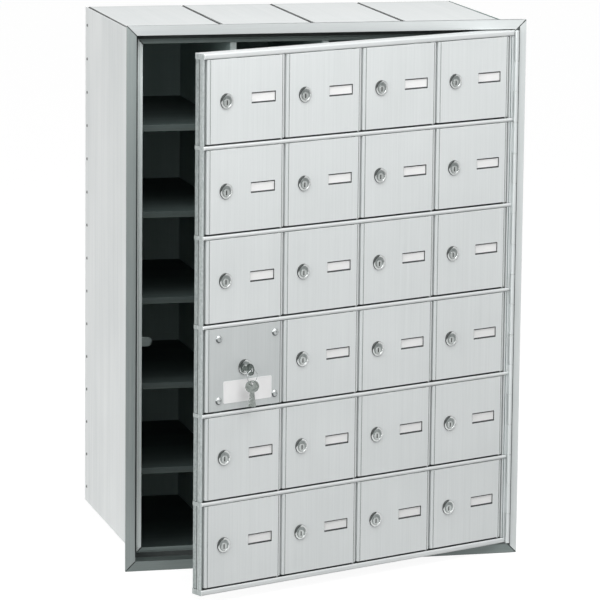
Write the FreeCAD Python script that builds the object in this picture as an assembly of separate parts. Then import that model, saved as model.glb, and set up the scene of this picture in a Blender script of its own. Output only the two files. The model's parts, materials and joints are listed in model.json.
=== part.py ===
"""Horizontal apartment mailbox with its master door standing open. All sizes are in millimetres.

X runs to the right, Y runs back into the wall and Z runs up. The origin is the middle of the
bottom edge of the trim flange, on the face that lies against the wall. Pieces of the master door
are drawn with the door closed and are then turned about the main hinge to the resting angle.
Rows are counted from the top and columns from the left.
"""

import FreeCAD
import Part
import math
import os

Vector = FreeCAD.Vector
RIGHT = Vector(1, 0, 0)
BACK = Vector(0, 1, 0)
UP = Vector(0, 0, 1)
ORIGIN = Vector(0, 0, 0)

# Share of a radius at which the middle of a quarter-circle arc lies along each axis
diagonal = math.sqrt(0.5)

# Arrangement of the compartments
columns = 4
rows = 6
column_pitch = 152.4
row_pitch = 139.7
lock_panel_column = 1
lock_panel_row = 4
door_rest_angle = 23.5

# Trim frame that lies on the wall
frame_face_width = 16.0
flange_thickness = 3.0
frame_wall = 1.6
stop_lip_width = 16.0
stop_lip_depth = 27.0
lip_groove_start = 8.0
lip_groove_width = 2.4
lip_groove_depth = 0.9

# Strike plate behind the stop lip
strike_reach = 17.5
strike_overlap = 8.0
strike_height = 15.0
strike_thickness = 1.6

# Cabinet sheets
cabinet_depth = 394.0
sheet = 1.2
sheet_clearance = 0.2
roof_rise = 3.9
roof_seam = 2.5
ledge_width = 12.0
ledge_drop = 10.0
partition_flange = 10.0
partition_setback = 0.8
shelf_lip = 10.0
back_flange = 30.0
anchor_hole_radius = 3.5

# Rivets along the rear edges of the sides
rivets_per_edge = 15
rivet_end_inset = 26.0
rivet_radius = 1.5
rivet_head_radius = 2.6
rivet_head_height = 1.0
rivet_fit = 0.1

# Master door frame
door_depth = 23.0
door_side_clearance = 1.5
door_end_clearance = 1.5
left_stile_width = 6.0
right_stile_width = 7.9
end_rail_margin = 5.9
rail_height = 6.5
rail_proud = 1.0
rail_nose_radius = 3.0
stile_recess = 3.5
stile_bulge = 1.0
stile_strip_depth = 9.0
stile_groove_width = 1.6
stile_groove_depth = 0.8
stile_lip_width = 1.6
stile_lip_recess = 1.5
right_stile_recess = 1.0
right_stile_strip = 2.4
right_stile_groove_depth = 0.8
stile_clearance = 0.5
catch_depth = 11.0
catch_overlap = 4.5

# Main hinge
hinge_knuckles = 17
hinge_knuckle_gap = 0.6
hinge_barrel_radius = 3.5
hinge_pin_radius = 1.75
hinge_leaf_thickness = 1.2
hinge_leaf_gap = 0.6
hinge_leaf_depth = 21.0
hinge_axis_forward = 4.5
hinge_axis_inset = 1.0

# Small doors and the fixed lock panel
leaf_thickness = 2.0
leaf_side_gap = 1.25
leaf_gap_below = 2.5
leaf_gap_above = 0.6
bead_radius = 4.0
groove_land = 1.5
groove_width = 1.0
groove_depth = 0.6
leaf_pin_radius = 1.5
leaf_pin_seat = 2.5

# Fits
running_fit = 0.08
seat_fit = 0.05
moving_gap = 0.3

# Name card in each small door
card_window_middle = 109.0
card_window_length = 46.0
card_window_height = 16.4
card_window_rise = 1.5
card_margin = 2.0
card_edge_gap = 1.8
card_thickness = 0.4
card_holder_wall = 2.0
card_holder_thickness = 1.4

# Locks
lock_inset = 37.3
lock_barrel_radius = 9.5
lock_bezel_radius = 12.0
lock_bezel_height = 2.5
lock_bezel_bevel = 1.4
lock_dish_radius = 9.0
lock_dish_depth = 0.8
lock_nut_width = 26.0
lock_nut_sides = 6
lock_nut_thickness = 3.0
plug_radius = 6.0
plug_drop = 2.4
plug_proud = 0.4
cam_width = 12.0
cam_thickness = 2.0
cam_running_gap = 1.2
cam_length = 38.0
master_cam_length = 58.0
cam_screw_radius = 3.6
cam_screw_height = 1.6

# Lock panel furniture: the left screws stand off the column line, the right ones off the panel's barrel
panel_screw_left = 26.0
panel_screw_right = 7.75
panel_screw_top = 20.0
panel_screw_bottom = 22.0
panel_screw_head_radius = 6.0
panel_screw_head_height = 3.2
panel_screw_radius = 2.5
panel_screw_length = 8.0
panel_screw_socket_radius = 1.8
panel_screw_socket_depth = 1.4
panel_bar_width = 14.0
panel_bar_depth = 10.0
label_width = 94.0
label_height = 35.0
label_thickness = 0.4
label_screw_gap = 0.2
label_drop = 37.0

# Keys and their ring
key_thickness = 1.8
key_bow_radius = 9.5
key_hole_offset = 5.2
key_hole_radius = 3.2
key_blade_width = 7.0
key_blade_length = 20.0
key_shoulder = 3.0
key_notches = 3
key_notch_depth = 1.8
key_notch_width = 3.0
key_ring_radius = 10.0
key_ring_wire = 0.7
hanging_key_angle = 14.0
hanging_key_turn = 50.0
hanging_key_splay = 7.0
hanging_key_drop = 1.1

# Sizes that follow from the arrangement
grid_width = columns * column_pitch
grid_height = rows * row_pitch
door_width = left_stile_width + grid_width + right_stile_width
door_height = grid_height + 2 * end_rail_margin
hinge_stack = 2 * hinge_leaf_thickness + hinge_leaf_gap
opening_width = door_side_clearance + door_width + hinge_stack
opening_height = door_height + 2 * door_end_clearance
frame_width = opening_width + 2 * frame_face_width
frame_height = opening_height + 2 * frame_face_width

# Places of the frame and the master door
opening_left = -opening_width / 2
opening_right = opening_width / 2
opening_bottom = frame_face_width
opening_top = opening_bottom + opening_height
door_left = opening_left + door_side_clearance
door_right = door_left + door_width
door_bottom = opening_bottom + door_end_clearance
door_top = door_bottom + door_height
grid_left = door_left + left_stile_width
grid_bottom = door_bottom + end_rail_margin
face_front = -flange_thickness
door_back = face_front + door_depth
catch_front = door_back - catch_depth
upright_length = row_pitch - rail_height
hinge_x = opening_right - hinge_axis_inset
hinge_y = face_front - hinge_axis_forward

# Places of the cabinet sheets
cabinet_half_width = opening_width / 2 + frame_wall
floor_top = opening_bottom + stop_lip_width
floor_bottom = floor_top - sheet
roof_seat = opening_top + frame_wall
roof_top = roof_seat + roof_rise
back_face = cabinet_depth - sheet
partition_front = stop_lip_depth + partition_setback
shelf_front = partition_front + sheet + sheet_clearance

# Places of the small doors and locks
leaf_height = upright_length - leaf_gap_below - leaf_gap_above
leaf_back = face_front + leaf_thickness
leaf_pin_y = face_front + bead_radius
plug_front = face_front - lock_bezel_height + lock_dish_depth - plug_proud
cam_front = door_back + cam_running_gap
master_cam_front = stop_lip_depth + strike_thickness + 2 * moving_gap
keyway_depth = key_blade_length + seat_fit


def column_left(column):
    """Return the X of the grid line at the left of a column."""
    return grid_left + (column - 1) * column_pitch


def row_base(row):
    """Return the Z of the grid line under a row."""
    return grid_bottom + (rows - row) * row_pitch


def leaf_base(row):
    """Return the Z of the lower edge of a small door."""
    return row_base(row) + rail_height / 2 + leaf_gap_below


def leaf_middle(row):
    """Return the Z of the middle of a small door, where its lock sits."""
    return leaf_base(row) + leaf_height / 2


def leaf_pin_x(column):
    """Return the X of the hinge pin of a small door."""
    return column_left(column) + column_pitch - leaf_side_gap - bead_radius


def block(x_range, y_range, z_range):
    """Return a box between the two ends of each range."""
    low = Vector(x_range[0], y_range[0], z_range[0])
    size = Vector(x_range[1], y_range[1], z_range[1]) - low
    return Part.makeBox(size.x, size.y, size.z, low)


def rod(radius, start, end):
    """Return a round rod between two points."""
    run = end - start
    return Part.makeCylinder(radius, run.Length, start, run)


def prism(points, run):
    """Return the closed polygon through the points, pushed along a vector."""
    outline = Part.makePolygon(points + points[:1])
    return Part.Face(outline).extrude(run)


def curved_prism(stretches, run):
    """Return a prism whose outline has straight stretches of two points and arcs of three."""
    edges = []
    for points in stretches:
        curve = Part.LineSegment(*points) if len(points) == 2 else Part.Arc(*points)
        edges.append(curve.toShape())
    return Part.Face(Part.Wire(edges)).extrude(run)


def hang(shape):
    """Return a piece of the closed master door, turned to the door's resting angle."""
    return shape.rotated(Vector(hinge_x, hinge_y, 0), UP, door_rest_angle)


def trim_rail(first_corner, last_corner):
    """Return one mitred length of the frame between two outer corners, taken anticlockwise."""
    run = last_corner - first_corner
    along = Vector(run).normalize()
    inward = Vector(-along.z, 0, along.x)
    edge = first_corner + inward * frame_face_width
    lip_front = stop_lip_depth - frame_wall
    groove_floor = lip_front + lip_groove_depth
    groove_end = lip_groove_start + lip_groove_width
    section = [
        (0, face_front),
        (-frame_face_width, face_front),
        (-frame_face_width, 0),
        (-frame_wall, 0),
        (-frame_wall, stop_lip_depth),
        (stop_lip_width, stop_lip_depth),
        (stop_lip_width, lip_front),
        (groove_end, lip_front),
        (groove_end, groove_floor),
        (lip_groove_start, groove_floor),
        (lip_groove_start, lip_front),
        (0, lip_front),
    ]
    bar = prism([edge + inward * step + BACK * depth for step, depth in section], run)
    mitre = frame_face_width + 2 * stop_lip_width
    wedge_corners = [
        first_corner,
        last_corner,
        last_corner + (inward - along) * mitre,
        first_corner + (inward + along) * mitre,
    ]
    wedge = prism([corner + BACK * face_front for corner in wedge_corners],
                  BACK * (stop_lip_depth - face_front))
    return bar.common(wedge)


def strike_plate():
    """Return the plate with a half-round end that the master cam turns behind."""
    radius = strike_height / 2
    middle = leaf_middle(lock_panel_row) - plug_drop
    lip_edge = opening_left + stop_lip_width
    start = lip_edge - strike_overlap
    bend = lip_edge + strike_reach - radius
    low_start = Vector(start, stop_lip_depth, middle - radius)
    low_bend = Vector(bend, stop_lip_depth, middle - radius)
    tip = Vector(bend + radius, stop_lip_depth, middle)
    high_bend = Vector(bend, stop_lip_depth, middle + radius)
    high_start = Vector(start, stop_lip_depth, middle + radius)
    outline = [
        (low_start, low_bend),
        (low_bend, tip, high_bend),
        (high_bend, high_start),
        (high_start, low_start),
    ]
    return curved_prism(outline, BACK * strike_thickness)


def trim_frame_rails():
    """Return the four mitred frame rails and the strike plate."""
    corners = [
        Vector(-frame_width / 2, 0, 0),
        Vector(frame_width / 2, 0, 0),
        Vector(frame_width / 2, 0, frame_height),
        Vector(-frame_width / 2, 0, frame_height),
    ]
    rails = [trim_rail(corners[i - 1], corners[i]) for i in range(len(corners))]
    return rails + [strike_plate()]


def rivet_places():
    """Return the height of each rivet and the depth at which they all sit."""
    low = floor_bottom + rivet_end_inset
    high = roof_seat - rivet_end_inset
    step = (high - low) / (rivets_per_edge - 1)
    return [low + i * step for i in range(rivets_per_edge)], cabinet_depth - back_flange / 2


def rivet_holes():
    """Return rods through both sides where the rivets pass."""
    heights, depth = rivet_places()
    ends = cabinet_half_width + 2 * sheet
    return Part.makeCompound([
        rod(rivet_radius + rivet_fit, Vector(-ends, depth, z), Vector(ends, depth, z)) for z in heights
    ])


def cabinet_rivets():
    """Return the rivets that join each side panel to the flange of the back sheet."""
    heights, depth = rivet_places()
    outside = cabinet_half_width + sheet
    inside = cabinet_half_width - sheet_clearance - sheet
    rivets = []
    for side in (-1, 1):
        out = RIGHT * side
        for z in heights:
            seat = Vector(side * outside, depth, z)
            inner_seat = Vector(side * inside, depth, z)
            head = Part.makeCone(rivet_head_radius, rivet_radius, rivet_head_height, seat, out)
            tail = Part.makeCone(rivet_head_radius, rivet_radius, rivet_head_height, inner_seat, -out)
            rivets.append(head.fuse([rod(rivet_radius, inner_seat, seat), tail]).removeSplitter())
    return rivets


def side_panels():
    """Return both side sheets and the angles inside their upper edges that carry the roof."""
    holes = rivet_holes()
    pieces = []
    for side in (-1, 1):
        inner = side * cabinet_half_width
        outer = side * (cabinet_half_width + sheet)
        panel = block(sorted((inner, outer)), (0, cabinet_depth), (floor_bottom, roof_top))
        pieces.append(panel.cut(holes))
        section = [
            (inner, roof_seat),
            (inner, roof_seat - ledge_drop),
            (inner - side * sheet, roof_seat - ledge_drop),
            (inner - side * sheet, roof_seat - sheet),
            (inner - side * ledge_width, roof_seat - sheet),
            (inner - side * ledge_width, roof_seat),
        ]
        start = stop_lip_depth + sheet_clearance
        ledge = prism([Vector(x, start, z) for x, z in section],
                      BACK * (back_face - back_flange - sheet_clearance - start))
        pieces.append(ledge)
    return pieces


def roof_pan(left, right):
    """Return one shallow roof pan with its side edges turned down."""
    section = [
        (left, roof_seat),
        (left, roof_top),
        (right, roof_top),
        (right, roof_seat),
        (right - sheet, roof_seat),
        (right - sheet, roof_top - sheet),
        (left + sheet, roof_top - sheet),
        (left + sheet, roof_seat),
    ]
    return prism([Vector(x, 0, z) for x, z in section], BACK * cabinet_depth)


def roof_floor_and_back_sheets():
    """Return a roof pan for each column, the floor and the back with its side flanges."""
    pieces = []
    for column in range(1, columns + 1):
        left = column_left(column) + roof_seam / 2
        right = column_left(column + 1) - roof_seam / 2
        if column == 1:
            left = roof_seam - cabinet_half_width
        if column == columns:
            right = cabinet_half_width - roof_seam
        pieces.append(roof_pan(left, right))
    half = cabinet_half_width - sheet_clearance
    floor_section = [
        (stop_lip_depth, floor_top),
        (back_face, floor_top),
        (back_face, floor_bottom),
        (stop_lip_depth + sheet, floor_bottom),
        (stop_lip_depth + sheet, opening_bottom),
        (stop_lip_depth, opening_bottom),
    ]
    pieces.append(prism([Vector(-half, y, z) for y, z in floor_section], RIGHT * 2 * half))
    flange_front = back_face - back_flange
    back_section = [
        (-half, cabinet_depth),
        (half, cabinet_depth),
        (half, flange_front),
        (half - sheet, flange_front),
        (half - sheet, back_face),
        (sheet - half, back_face),
        (sheet - half, flange_front),
        (-half, flange_front),
    ]
    back = prism([Vector(x, y, floor_top) for x, y in back_section], UP * (roof_seat - floor_top))
    skirt = block((-half, half), (back_face, cabinet_depth), (floor_bottom, floor_top))
    anchors = [
        rod(anchor_hole_radius, Vector(x, back_face, z), Vector(x, cabinet_depth, z))
        for x in (column_left(1) + column_pitch / 2, column_left(columns) + column_pitch / 2)
        for z in (leaf_middle(1), leaf_middle(rows))
    ]
    pieces.append(back.fuse(skirt).removeSplitter().cut(anchors + [rivet_holes()]))
    return pieces


def column_partitions():
    """Return the upright sheets between the columns, with their front and top flanges."""
    pieces = []
    for column in range(2, columns + 1):
        left = column_left(column) - sheet / 2
        right = left + sheet
        flange_end = left + partition_flange
        back = back_face - sheet_clearance
        section = [
            (left, partition_front),
            (flange_end, partition_front),
            (flange_end, partition_front + sheet),
            (right, partition_front + sheet),
            (right, back),
            (left, back),
        ]
        web = prism([Vector(x, y, floor_top) for x, y in section], UP * (roof_seat - floor_top))
        cap = block((left, flange_end), (partition_front, back), (roof_seat - sheet, roof_seat))
        pieces.append(web.fuse(cap).removeSplitter())
    return pieces


def flange_room():
    """Return the room for the side flanges of the back sheet and the tails of their rivets."""
    near = cabinet_half_width - 2 * sheet_clearance - sheet - rivet_head_height
    flange_front = back_face - back_flange - sheet_clearance
    heights = (floor_bottom, roof_seat)
    return [
        block(sorted((side * near, side * cabinet_half_width)), (flange_front, back_face), heights)
        for side in (-1, 1)
    ]


def shelves():
    """Return the shelf of every compartment above the lowest row, with its lip turned down."""
    room = flange_room()
    pieces = []
    for column in range(1, columns + 1):
        left = column_left(column) + sheet / 2 if column > 1 else -cabinet_half_width
        right = column_left(column + 1) - sheet / 2 if column < columns else cabinet_half_width
        left += sheet_clearance
        right -= sheet_clearance
        for row in range(1, rows):
            top = row_base(row)
            back = back_face - sheet_clearance
            section = [
                (shelf_front, top),
                (back, top),
                (back, top - sheet),
                (shelf_front + sheet, top - sheet),
                (shelf_front + sheet, top - shelf_lip),
                (shelf_front, top - shelf_lip),
            ]
            points = [Vector(left, y, z) for y, z in section]
            pieces.append(prism(points, RIGHT * (right - left)).cut(room))
    return pieces


def hinge_leaf(near_x, far_x, first_knuckle, hole_radius):
    """Return one leaf of the main hinge with every second knuckle, starting at the one given."""
    pitch = door_height / hinge_knuckles
    plate_back = face_front + hinge_leaf_depth
    plate = block((near_x, far_x), (face_front, plate_back), (door_bottom, door_top))
    knuckles = []
    for index in range(first_knuckle, hinge_knuckles, 2):
        low = door_bottom + index * pitch + hinge_knuckle_gap / 2
        high = door_bottom + (index + 1) * pitch - hinge_knuckle_gap / 2
        ends = (Vector(hinge_x, hinge_y, low), Vector(hinge_x, hinge_y, high))
        knuckles.append(rod(hinge_barrel_radius, *ends))
        knuckles.append(block((near_x, far_x), (hinge_y, face_front), (low, high)))
    hole = rod(hole_radius, Vector(hinge_x, hinge_y, door_bottom), Vector(hinge_x, hinge_y, door_top))
    return plate.fuse(knuckles).cut(hole).removeSplitter()


def main_hinge_fixed_leaf():
    """Return the hinge leaf on the frame and the pin that it holds."""
    leaf = hinge_leaf(opening_right - hinge_leaf_thickness, opening_right, 0, hinge_pin_radius + seat_fit)
    pin = rod(hinge_pin_radius, Vector(hinge_x, hinge_y, door_bottom), Vector(hinge_x, hinge_y, door_top))
    return [leaf, pin]


def main_hinge_door_leaf():
    """Return the hinge leaf on the master door."""
    leaf = hinge_leaf(door_right, door_right + hinge_leaf_thickness, 1, hinge_pin_radius + running_fit)
    return [hang(leaf)]


def rail_bar(low, high):
    """Return one door rail with a rounded nose and a rounded left end."""
    front = face_front - rail_proud
    radius = rail_nose_radius
    shift = radius * (1 - diagonal)
    side_view = [
        (Vector(door_left, door_back, low), Vector(door_left, front + radius, low)),
        (Vector(door_left, front + radius, low), Vector(door_left, front + shift, low + shift),
         Vector(door_left, front, low + radius)),
        (Vector(door_left, front, low + radius), Vector(door_left, front, high - radius)),
        (Vector(door_left, front, high - radius), Vector(door_left, front + shift, high - shift),
         Vector(door_left, front + radius, high)),
        (Vector(door_left, front + radius, high), Vector(door_left, door_back, high)),
        (Vector(door_left, door_back, high), Vector(door_left, door_back, low)),
    ]
    plan_view = [
        (Vector(door_left, door_back, low), Vector(door_left, front + radius, low)),
        (Vector(door_left, front + radius, low), Vector(door_left + shift, front + shift, low),
         Vector(door_left + radius, front, low)),
        (Vector(door_left + radius, front, low), Vector(door_right, front, low)),
        (Vector(door_right, front, low), Vector(door_right, door_back, low)),
        (Vector(door_right, door_back, low), Vector(door_left, door_back, low)),
    ]
    bar = curved_prism(side_view, RIGHT * door_width)
    return bar.common(curved_prism(plan_view, UP * (high - low)))


def small_doors():
    """Return the row and column of every small door, leaving out the lock panel."""
    return [
        (row, column)
        for row in range(1, rows + 1)
        for column in range(1, columns + 1)
        if (row, column) != (lock_panel_row, lock_panel_column)
    ]


def leaf_pin_ends(row, column):
    """Return the lower and upper end of the hinge pin of a small door."""
    low = row_base(row) + rail_height / 2 - leaf_pin_seat
    high = row_base(row) + row_pitch - rail_height / 2 + leaf_pin_seat
    x = leaf_pin_x(column)
    return Vector(x, leaf_pin_y, low), Vector(x, leaf_pin_y, high)


def door_rails():
    """Return the horizontal rails of the master door, with a seat for every hinge pin."""
    seats = [rod(leaf_pin_radius + seat_fit, *leaf_pin_ends(*place)) for place in small_doors()]
    rails = []
    for line in range(rows + 1):
        middle = grid_bottom + line * row_pitch
        low = door_bottom if line == 0 else middle - rail_height / 2
        high = door_top if line == rows else middle + rail_height / 2
        rails.append(hang(rail_bar(low, high).cut(seats)))
    return rails


def left_stile(base):
    """Return a length of the left stile: a flat strip, a groove and a moulding whose lip edges a channel."""
    strip_x = door_left + stile_bulge
    groove_x = strip_x + stile_groove_depth
    lip_x = strip_x + stile_lip_width
    stile_side = grid_left - stile_clearance
    catch_edge = grid_left + catch_overlap
    strip_front = door_back - stile_strip_depth
    moulding_back = strip_front - stile_groove_width
    lip_front = face_front + stile_lip_recess
    lip_start = lip_front + stile_lip_width / 2
    channel_floor = face_front + stile_recess
    corners = [
        Vector(lip_x, lip_start, base),
        Vector(lip_x, channel_floor, base),
        Vector(stile_side, channel_floor, base),
        Vector(stile_side, catch_front, base),
        Vector(catch_edge, catch_front, base),
        Vector(catch_edge, door_back, base),
        Vector(strip_x, door_back, base),
        Vector(strip_x, strip_front, base),
        Vector(groove_x, strip_front, base),
        Vector(groove_x, moulding_back, base),
        Vector(strip_x, moulding_back, base),
    ]
    moulding_end = Vector(strip_x, lip_start, base)
    outline = list(zip(corners, corners[1:]))
    outline += [
        (corners[-1], Vector(door_left, (moulding_back + lip_start) / 2, base), moulding_end),
        (moulding_end, Vector(strip_x + stile_lip_width / 2, lip_front, base), corners[0]),
    ]
    return curved_prism(outline, UP * upright_length)


def door_uprights():
    """Return the lengths of stile and mullion that stand between the rails."""
    right_near = column_left(columns + 1) + stile_clearance
    right_front = face_front + right_stile_recess
    right_groove_floor = right_front + right_stile_groove_depth
    right_stile = [
        (right_near, right_front),
        (right_near + right_stile_strip, right_front),
        (right_near + right_stile_strip, right_groove_floor),
        (door_right - right_stile_strip, right_groove_floor),
        (door_right - right_stile_strip, right_front),
        (door_right, right_front),
        (door_right, door_back),
        (right_near, door_back),
    ]
    sections = [right_stile]
    for column in range(2, columns + 1):
        low = column_left(column) - catch_overlap
        high = column_left(column) + catch_overlap
        sections.append([(low, catch_front), (high, catch_front), (high, door_back), (low, door_back)])
    uprights = []
    for row in range(1, rows + 1):
        base = row_base(row) + rail_height / 2
        uprights.append(hang(left_stile(base)))
        for section in sections:
            points = [Vector(x, y, base) for x, y in section]
            uprights.append(hang(prism(points, UP * upright_length)))
    return uprights


def tenant_hinge_pins():
    """Return the hinge pin of every small door."""
    return [hang(rod(leaf_pin_radius, *leaf_pin_ends(*place))) for place in small_doors()]


def groove(middle):
    """Return the three points of a fine groove in the front of a small door."""
    return [
        Vector(middle - groove_width / 2, face_front, 0),
        Vector(middle, face_front + groove_depth, 0),
        Vector(middle + groove_width / 2, face_front, 0),
    ]


def leaf_sheet(row, column):
    """Return the face of a small door: a bead turned back at the left and a barrel at the right."""
    left = column_left(column) + leaf_side_gap
    pin_x = leaf_pin_x(column)
    bend = left + bead_radius
    inner_radius = bead_radius - leaf_thickness
    return_end = leaf_pin_y + bead_radius
    touch = pin_x - math.sqrt(bead_radius ** 2 - inner_radius ** 2)
    side = Vector(left, leaf_pin_y, 0)
    face_start = Vector(bend, face_front, 0)
    face_end = Vector(pin_x, face_front, 0)
    back_end = Vector(touch, leaf_back, 0)
    back_start = Vector(bend, leaf_back, 0)
    inner_side = Vector(left + leaf_thickness, leaf_pin_y, 0)
    inner_tip = Vector(left + leaf_thickness, return_end, 0)
    outer_tip = Vector(left, return_end, 0)
    bead_centre = Vector(bend, leaf_pin_y, 0)
    bead_way = Vector(-diagonal, -diagonal, 0)
    front_points = [face_start] + groove(bend + groove_land) + groove(pin_x - groove_land) + [face_end]
    outline = [(side, bead_centre + bead_way * bead_radius, face_start)]
    outline += list(zip(front_points, front_points[1:]))
    outline += [
        (face_end, Vector(pin_x + bead_radius, leaf_pin_y, 0), back_end),
        (back_end, back_start),
        (back_start, bead_centre + bead_way * inner_radius, inner_side),
        (inner_side, inner_tip),
        (inner_tip, outer_tip),
        (outer_tip, side),
    ]
    return curved_prism(outline, UP * leaf_height).translated(UP * leaf_base(row))


def lock_hole(x, z):
    """Return the rod that clears a lock barrel through a door face."""
    return rod(lock_barrel_radius + seat_fit, Vector(x, face_front, z), Vector(x, leaf_back, z))


def lock_barrel(x, z, back):
    """Return a lock body: a bevelled bezel with a dished front, and a barrel with a low bore."""
    edge = lock_bezel_height - lock_bezel_bevel
    front = face_front - lock_bezel_height
    seat = Vector(x, face_front, z)
    rim = Vector(x, face_front - edge, z)
    bezel = rod(lock_bezel_radius, seat, rim)
    bevel_end = lock_bezel_radius - lock_bezel_bevel
    bevel = Part.makeCone(lock_bezel_radius, bevel_end, lock_bezel_bevel, rim, -BACK)
    barrel = rod(lock_barrel_radius, seat, Vector(x, back, z))
    dish = rod(lock_dish_radius, Vector(x, front, z), Vector(x, front + lock_dish_depth, z))
    bore = rod(plug_radius + running_fit, Vector(x, front, z - plug_drop), Vector(x, back, z - plug_drop))
    return bezel.fuse([bevel, barrel]).removeSplitter().cut([dish, bore])


def lock_nut(x, z):
    """Return the six-sided nut that holds a lock barrel behind its door face."""
    corner_radius = lock_nut_width / 2 / math.cos(math.pi / lock_nut_sides)
    angles = [2 * math.pi / lock_nut_sides * step for step in range(lock_nut_sides)]
    points = [
        Vector(x + corner_radius * math.cos(angle), leaf_back, z + corner_radius * math.sin(angle))
        for angle in angles
    ]
    nut = prism(points, BACK * lock_nut_thickness)
    hole = rod(lock_barrel_radius + seat_fit, Vector(x, leaf_back, z),
               Vector(x, leaf_back + lock_nut_thickness, z))
    return nut.cut(hole)


def lock_core(x, z, cam_reach, cam_start):
    """Return the turning pieces of a lock: the slotted plug, the cam hanging down and its screw."""
    axis_z = z - plug_drop
    plug = rod(plug_radius, Vector(x, plug_front, axis_z), Vector(x, cam_start, axis_z))
    slot_half_width = key_thickness / 2 + running_fit
    slot_half_height = key_blade_width / 2 + running_fit
    keyway = block((x - slot_half_width, x + slot_half_width),
                   (plug_front, plug_front + keyway_depth),
                   (axis_z - slot_half_height, axis_z + slot_half_height))
    half = cam_width / 2
    foot = axis_z - cam_reach + half
    top_left = Vector(x - half, cam_start, axis_z)
    top = Vector(x, cam_start, axis_z + half)
    top_right = Vector(x + half, cam_start, axis_z)
    low_right = Vector(x + half, cam_start, foot)
    low = Vector(x, cam_start, foot - half)
    low_left = Vector(x - half, cam_start, foot)
    outline = [
        (top_left, top, top_right),
        (top_right, low_right),
        (low_right, low, low_left),
        (low_left, top_left),
    ]
    cam = curved_prism(outline, BACK * cam_thickness)
    cam_back = cam_start + cam_thickness
    screw = Part.makeCone(cam_screw_radius, cam_screw_radius - cam_screw_height / 2, cam_screw_height,
                          Vector(x, cam_back, axis_z), BACK)
    return [plug.cut(keyway), cam, screw]


def tenant_door(row, column):
    """Return one small door with its lock body, nut, name card and card holder."""
    lock_x = column_left(column) + lock_inset
    middle_x = column_left(column) + card_window_middle
    lock_z = leaf_middle(row)
    z = lock_z + card_window_rise
    half_length = card_window_length / 2
    half_height = card_window_height / 2
    pin_low, pin_high = leaf_pin_ends(row, column)
    window = block((middle_x - half_length, middle_x + half_length), (face_front, leaf_back),
                   (z - half_height, z + half_height))
    cuts = [rod(leaf_pin_radius + running_fit, pin_low, pin_high), lock_hole(lock_x, lock_z), window]
    card_x = half_length + card_margin
    card_z = half_height - card_edge_gap
    card = block((middle_x - card_x, middle_x + card_x), (leaf_back, leaf_back + card_thickness),
                 (z - card_z, z + card_z))
    pocket_x = card_x + seat_fit
    pocket_z = card_z + seat_fit
    pocket = block((middle_x - pocket_x, middle_x + pocket_x), (leaf_back, leaf_back + card_thickness),
                   (z - pocket_z, z + pocket_z))
    holder_x = card_x + card_holder_wall
    holder_z = half_height + card_holder_wall
    holder = block((middle_x - holder_x, middle_x + holder_x), (leaf_back, leaf_back + card_holder_thickness),
                   (z - holder_z, z + holder_z))
    pieces = [
        leaf_sheet(row, column).cut(cuts),
        lock_barrel(lock_x, lock_z, cam_front - moving_gap),
        lock_nut(lock_x, lock_z),
        card,
        holder.cut(pocket),
    ]
    return [hang(piece) for piece in pieces]


def tenant_lock(row, column):
    """Return the turning pieces of the lock of one small door."""
    lock_x = column_left(column) + lock_inset
    return [hang(piece) for piece in lock_core(lock_x, leaf_middle(row), cam_length, cam_front)]


def panel_screw(x, z):
    """Return one round-headed screw of the lock panel."""
    seat = Vector(x, face_front, z)
    rise = panel_screw_head_height
    ball_radius = (panel_screw_head_radius ** 2 + rise ** 2) / (2 * rise)
    ball = Part.makeSphere(ball_radius, Vector(x, face_front - rise + ball_radius, z))
    reach = panel_screw_head_radius
    slab = block((x - reach, x + reach), (face_front - rise, face_front), (z - reach, z + reach))
    shank = rod(panel_screw_radius, seat, Vector(x, leaf_back + panel_screw_length, z))
    socket_floor = face_front - rise + panel_screw_socket_depth
    socket = rod(panel_screw_socket_radius, Vector(x, face_front - rise, z), Vector(x, socket_floor, z))
    return ball.common(slab).fuse(shank).cut(socket)


def lock_panel_set():
    """Return the fixed lock panel, its screws and bars, the blank label, the lock body and its nut."""
    row = lock_panel_row
    left = column_left(lock_panel_column)
    barrel_side = leaf_pin_x(lock_panel_column) - bead_radius
    lock_x = left + column_pitch / 2
    lock_z = leaf_middle(row)
    screw_columns = (left + panel_screw_left, barrel_side - panel_screw_right)
    screw_heights = (row_base(row) + panel_screw_bottom, row_base(row) + row_pitch - panel_screw_top)
    places = [(x, z) for x in screw_columns for z in screw_heights]
    screw_end = leaf_back + panel_screw_length
    holes = [
        rod(panel_screw_radius + seat_fit, Vector(x, face_front, z), Vector(x, screw_end, z))
        for x, z in places
    ]
    panel = leaf_sheet(row, lock_panel_column).cut(holes + [lock_hole(lock_x, lock_z)])
    bar_low = row_base(row) + rail_height / 2
    bar_high = bar_low + upright_length
    half_bar = panel_bar_width / 2
    bar_back = leaf_back + panel_bar_depth
    bars = [
        block((x - half_bar, x + half_bar), (leaf_back, bar_back), (bar_low, bar_high)).cut(holes)
        for x in screw_columns
    ]
    label_right = screw_columns[1] - panel_screw_head_radius - label_screw_gap
    label_z = lock_z - label_drop
    label = block((label_right - label_width, label_right),
                  (face_front - label_thickness, face_front),
                  (label_z - label_height / 2, label_z + label_height / 2))
    barrel = lock_barrel(lock_x, lock_z, master_cam_front - moving_gap)
    pieces = [panel, label, barrel, lock_nut(lock_x, lock_z)] + bars
    pieces += [panel_screw(x, z) for x, z in places]
    return [hang(piece) for piece in pieces]


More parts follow.
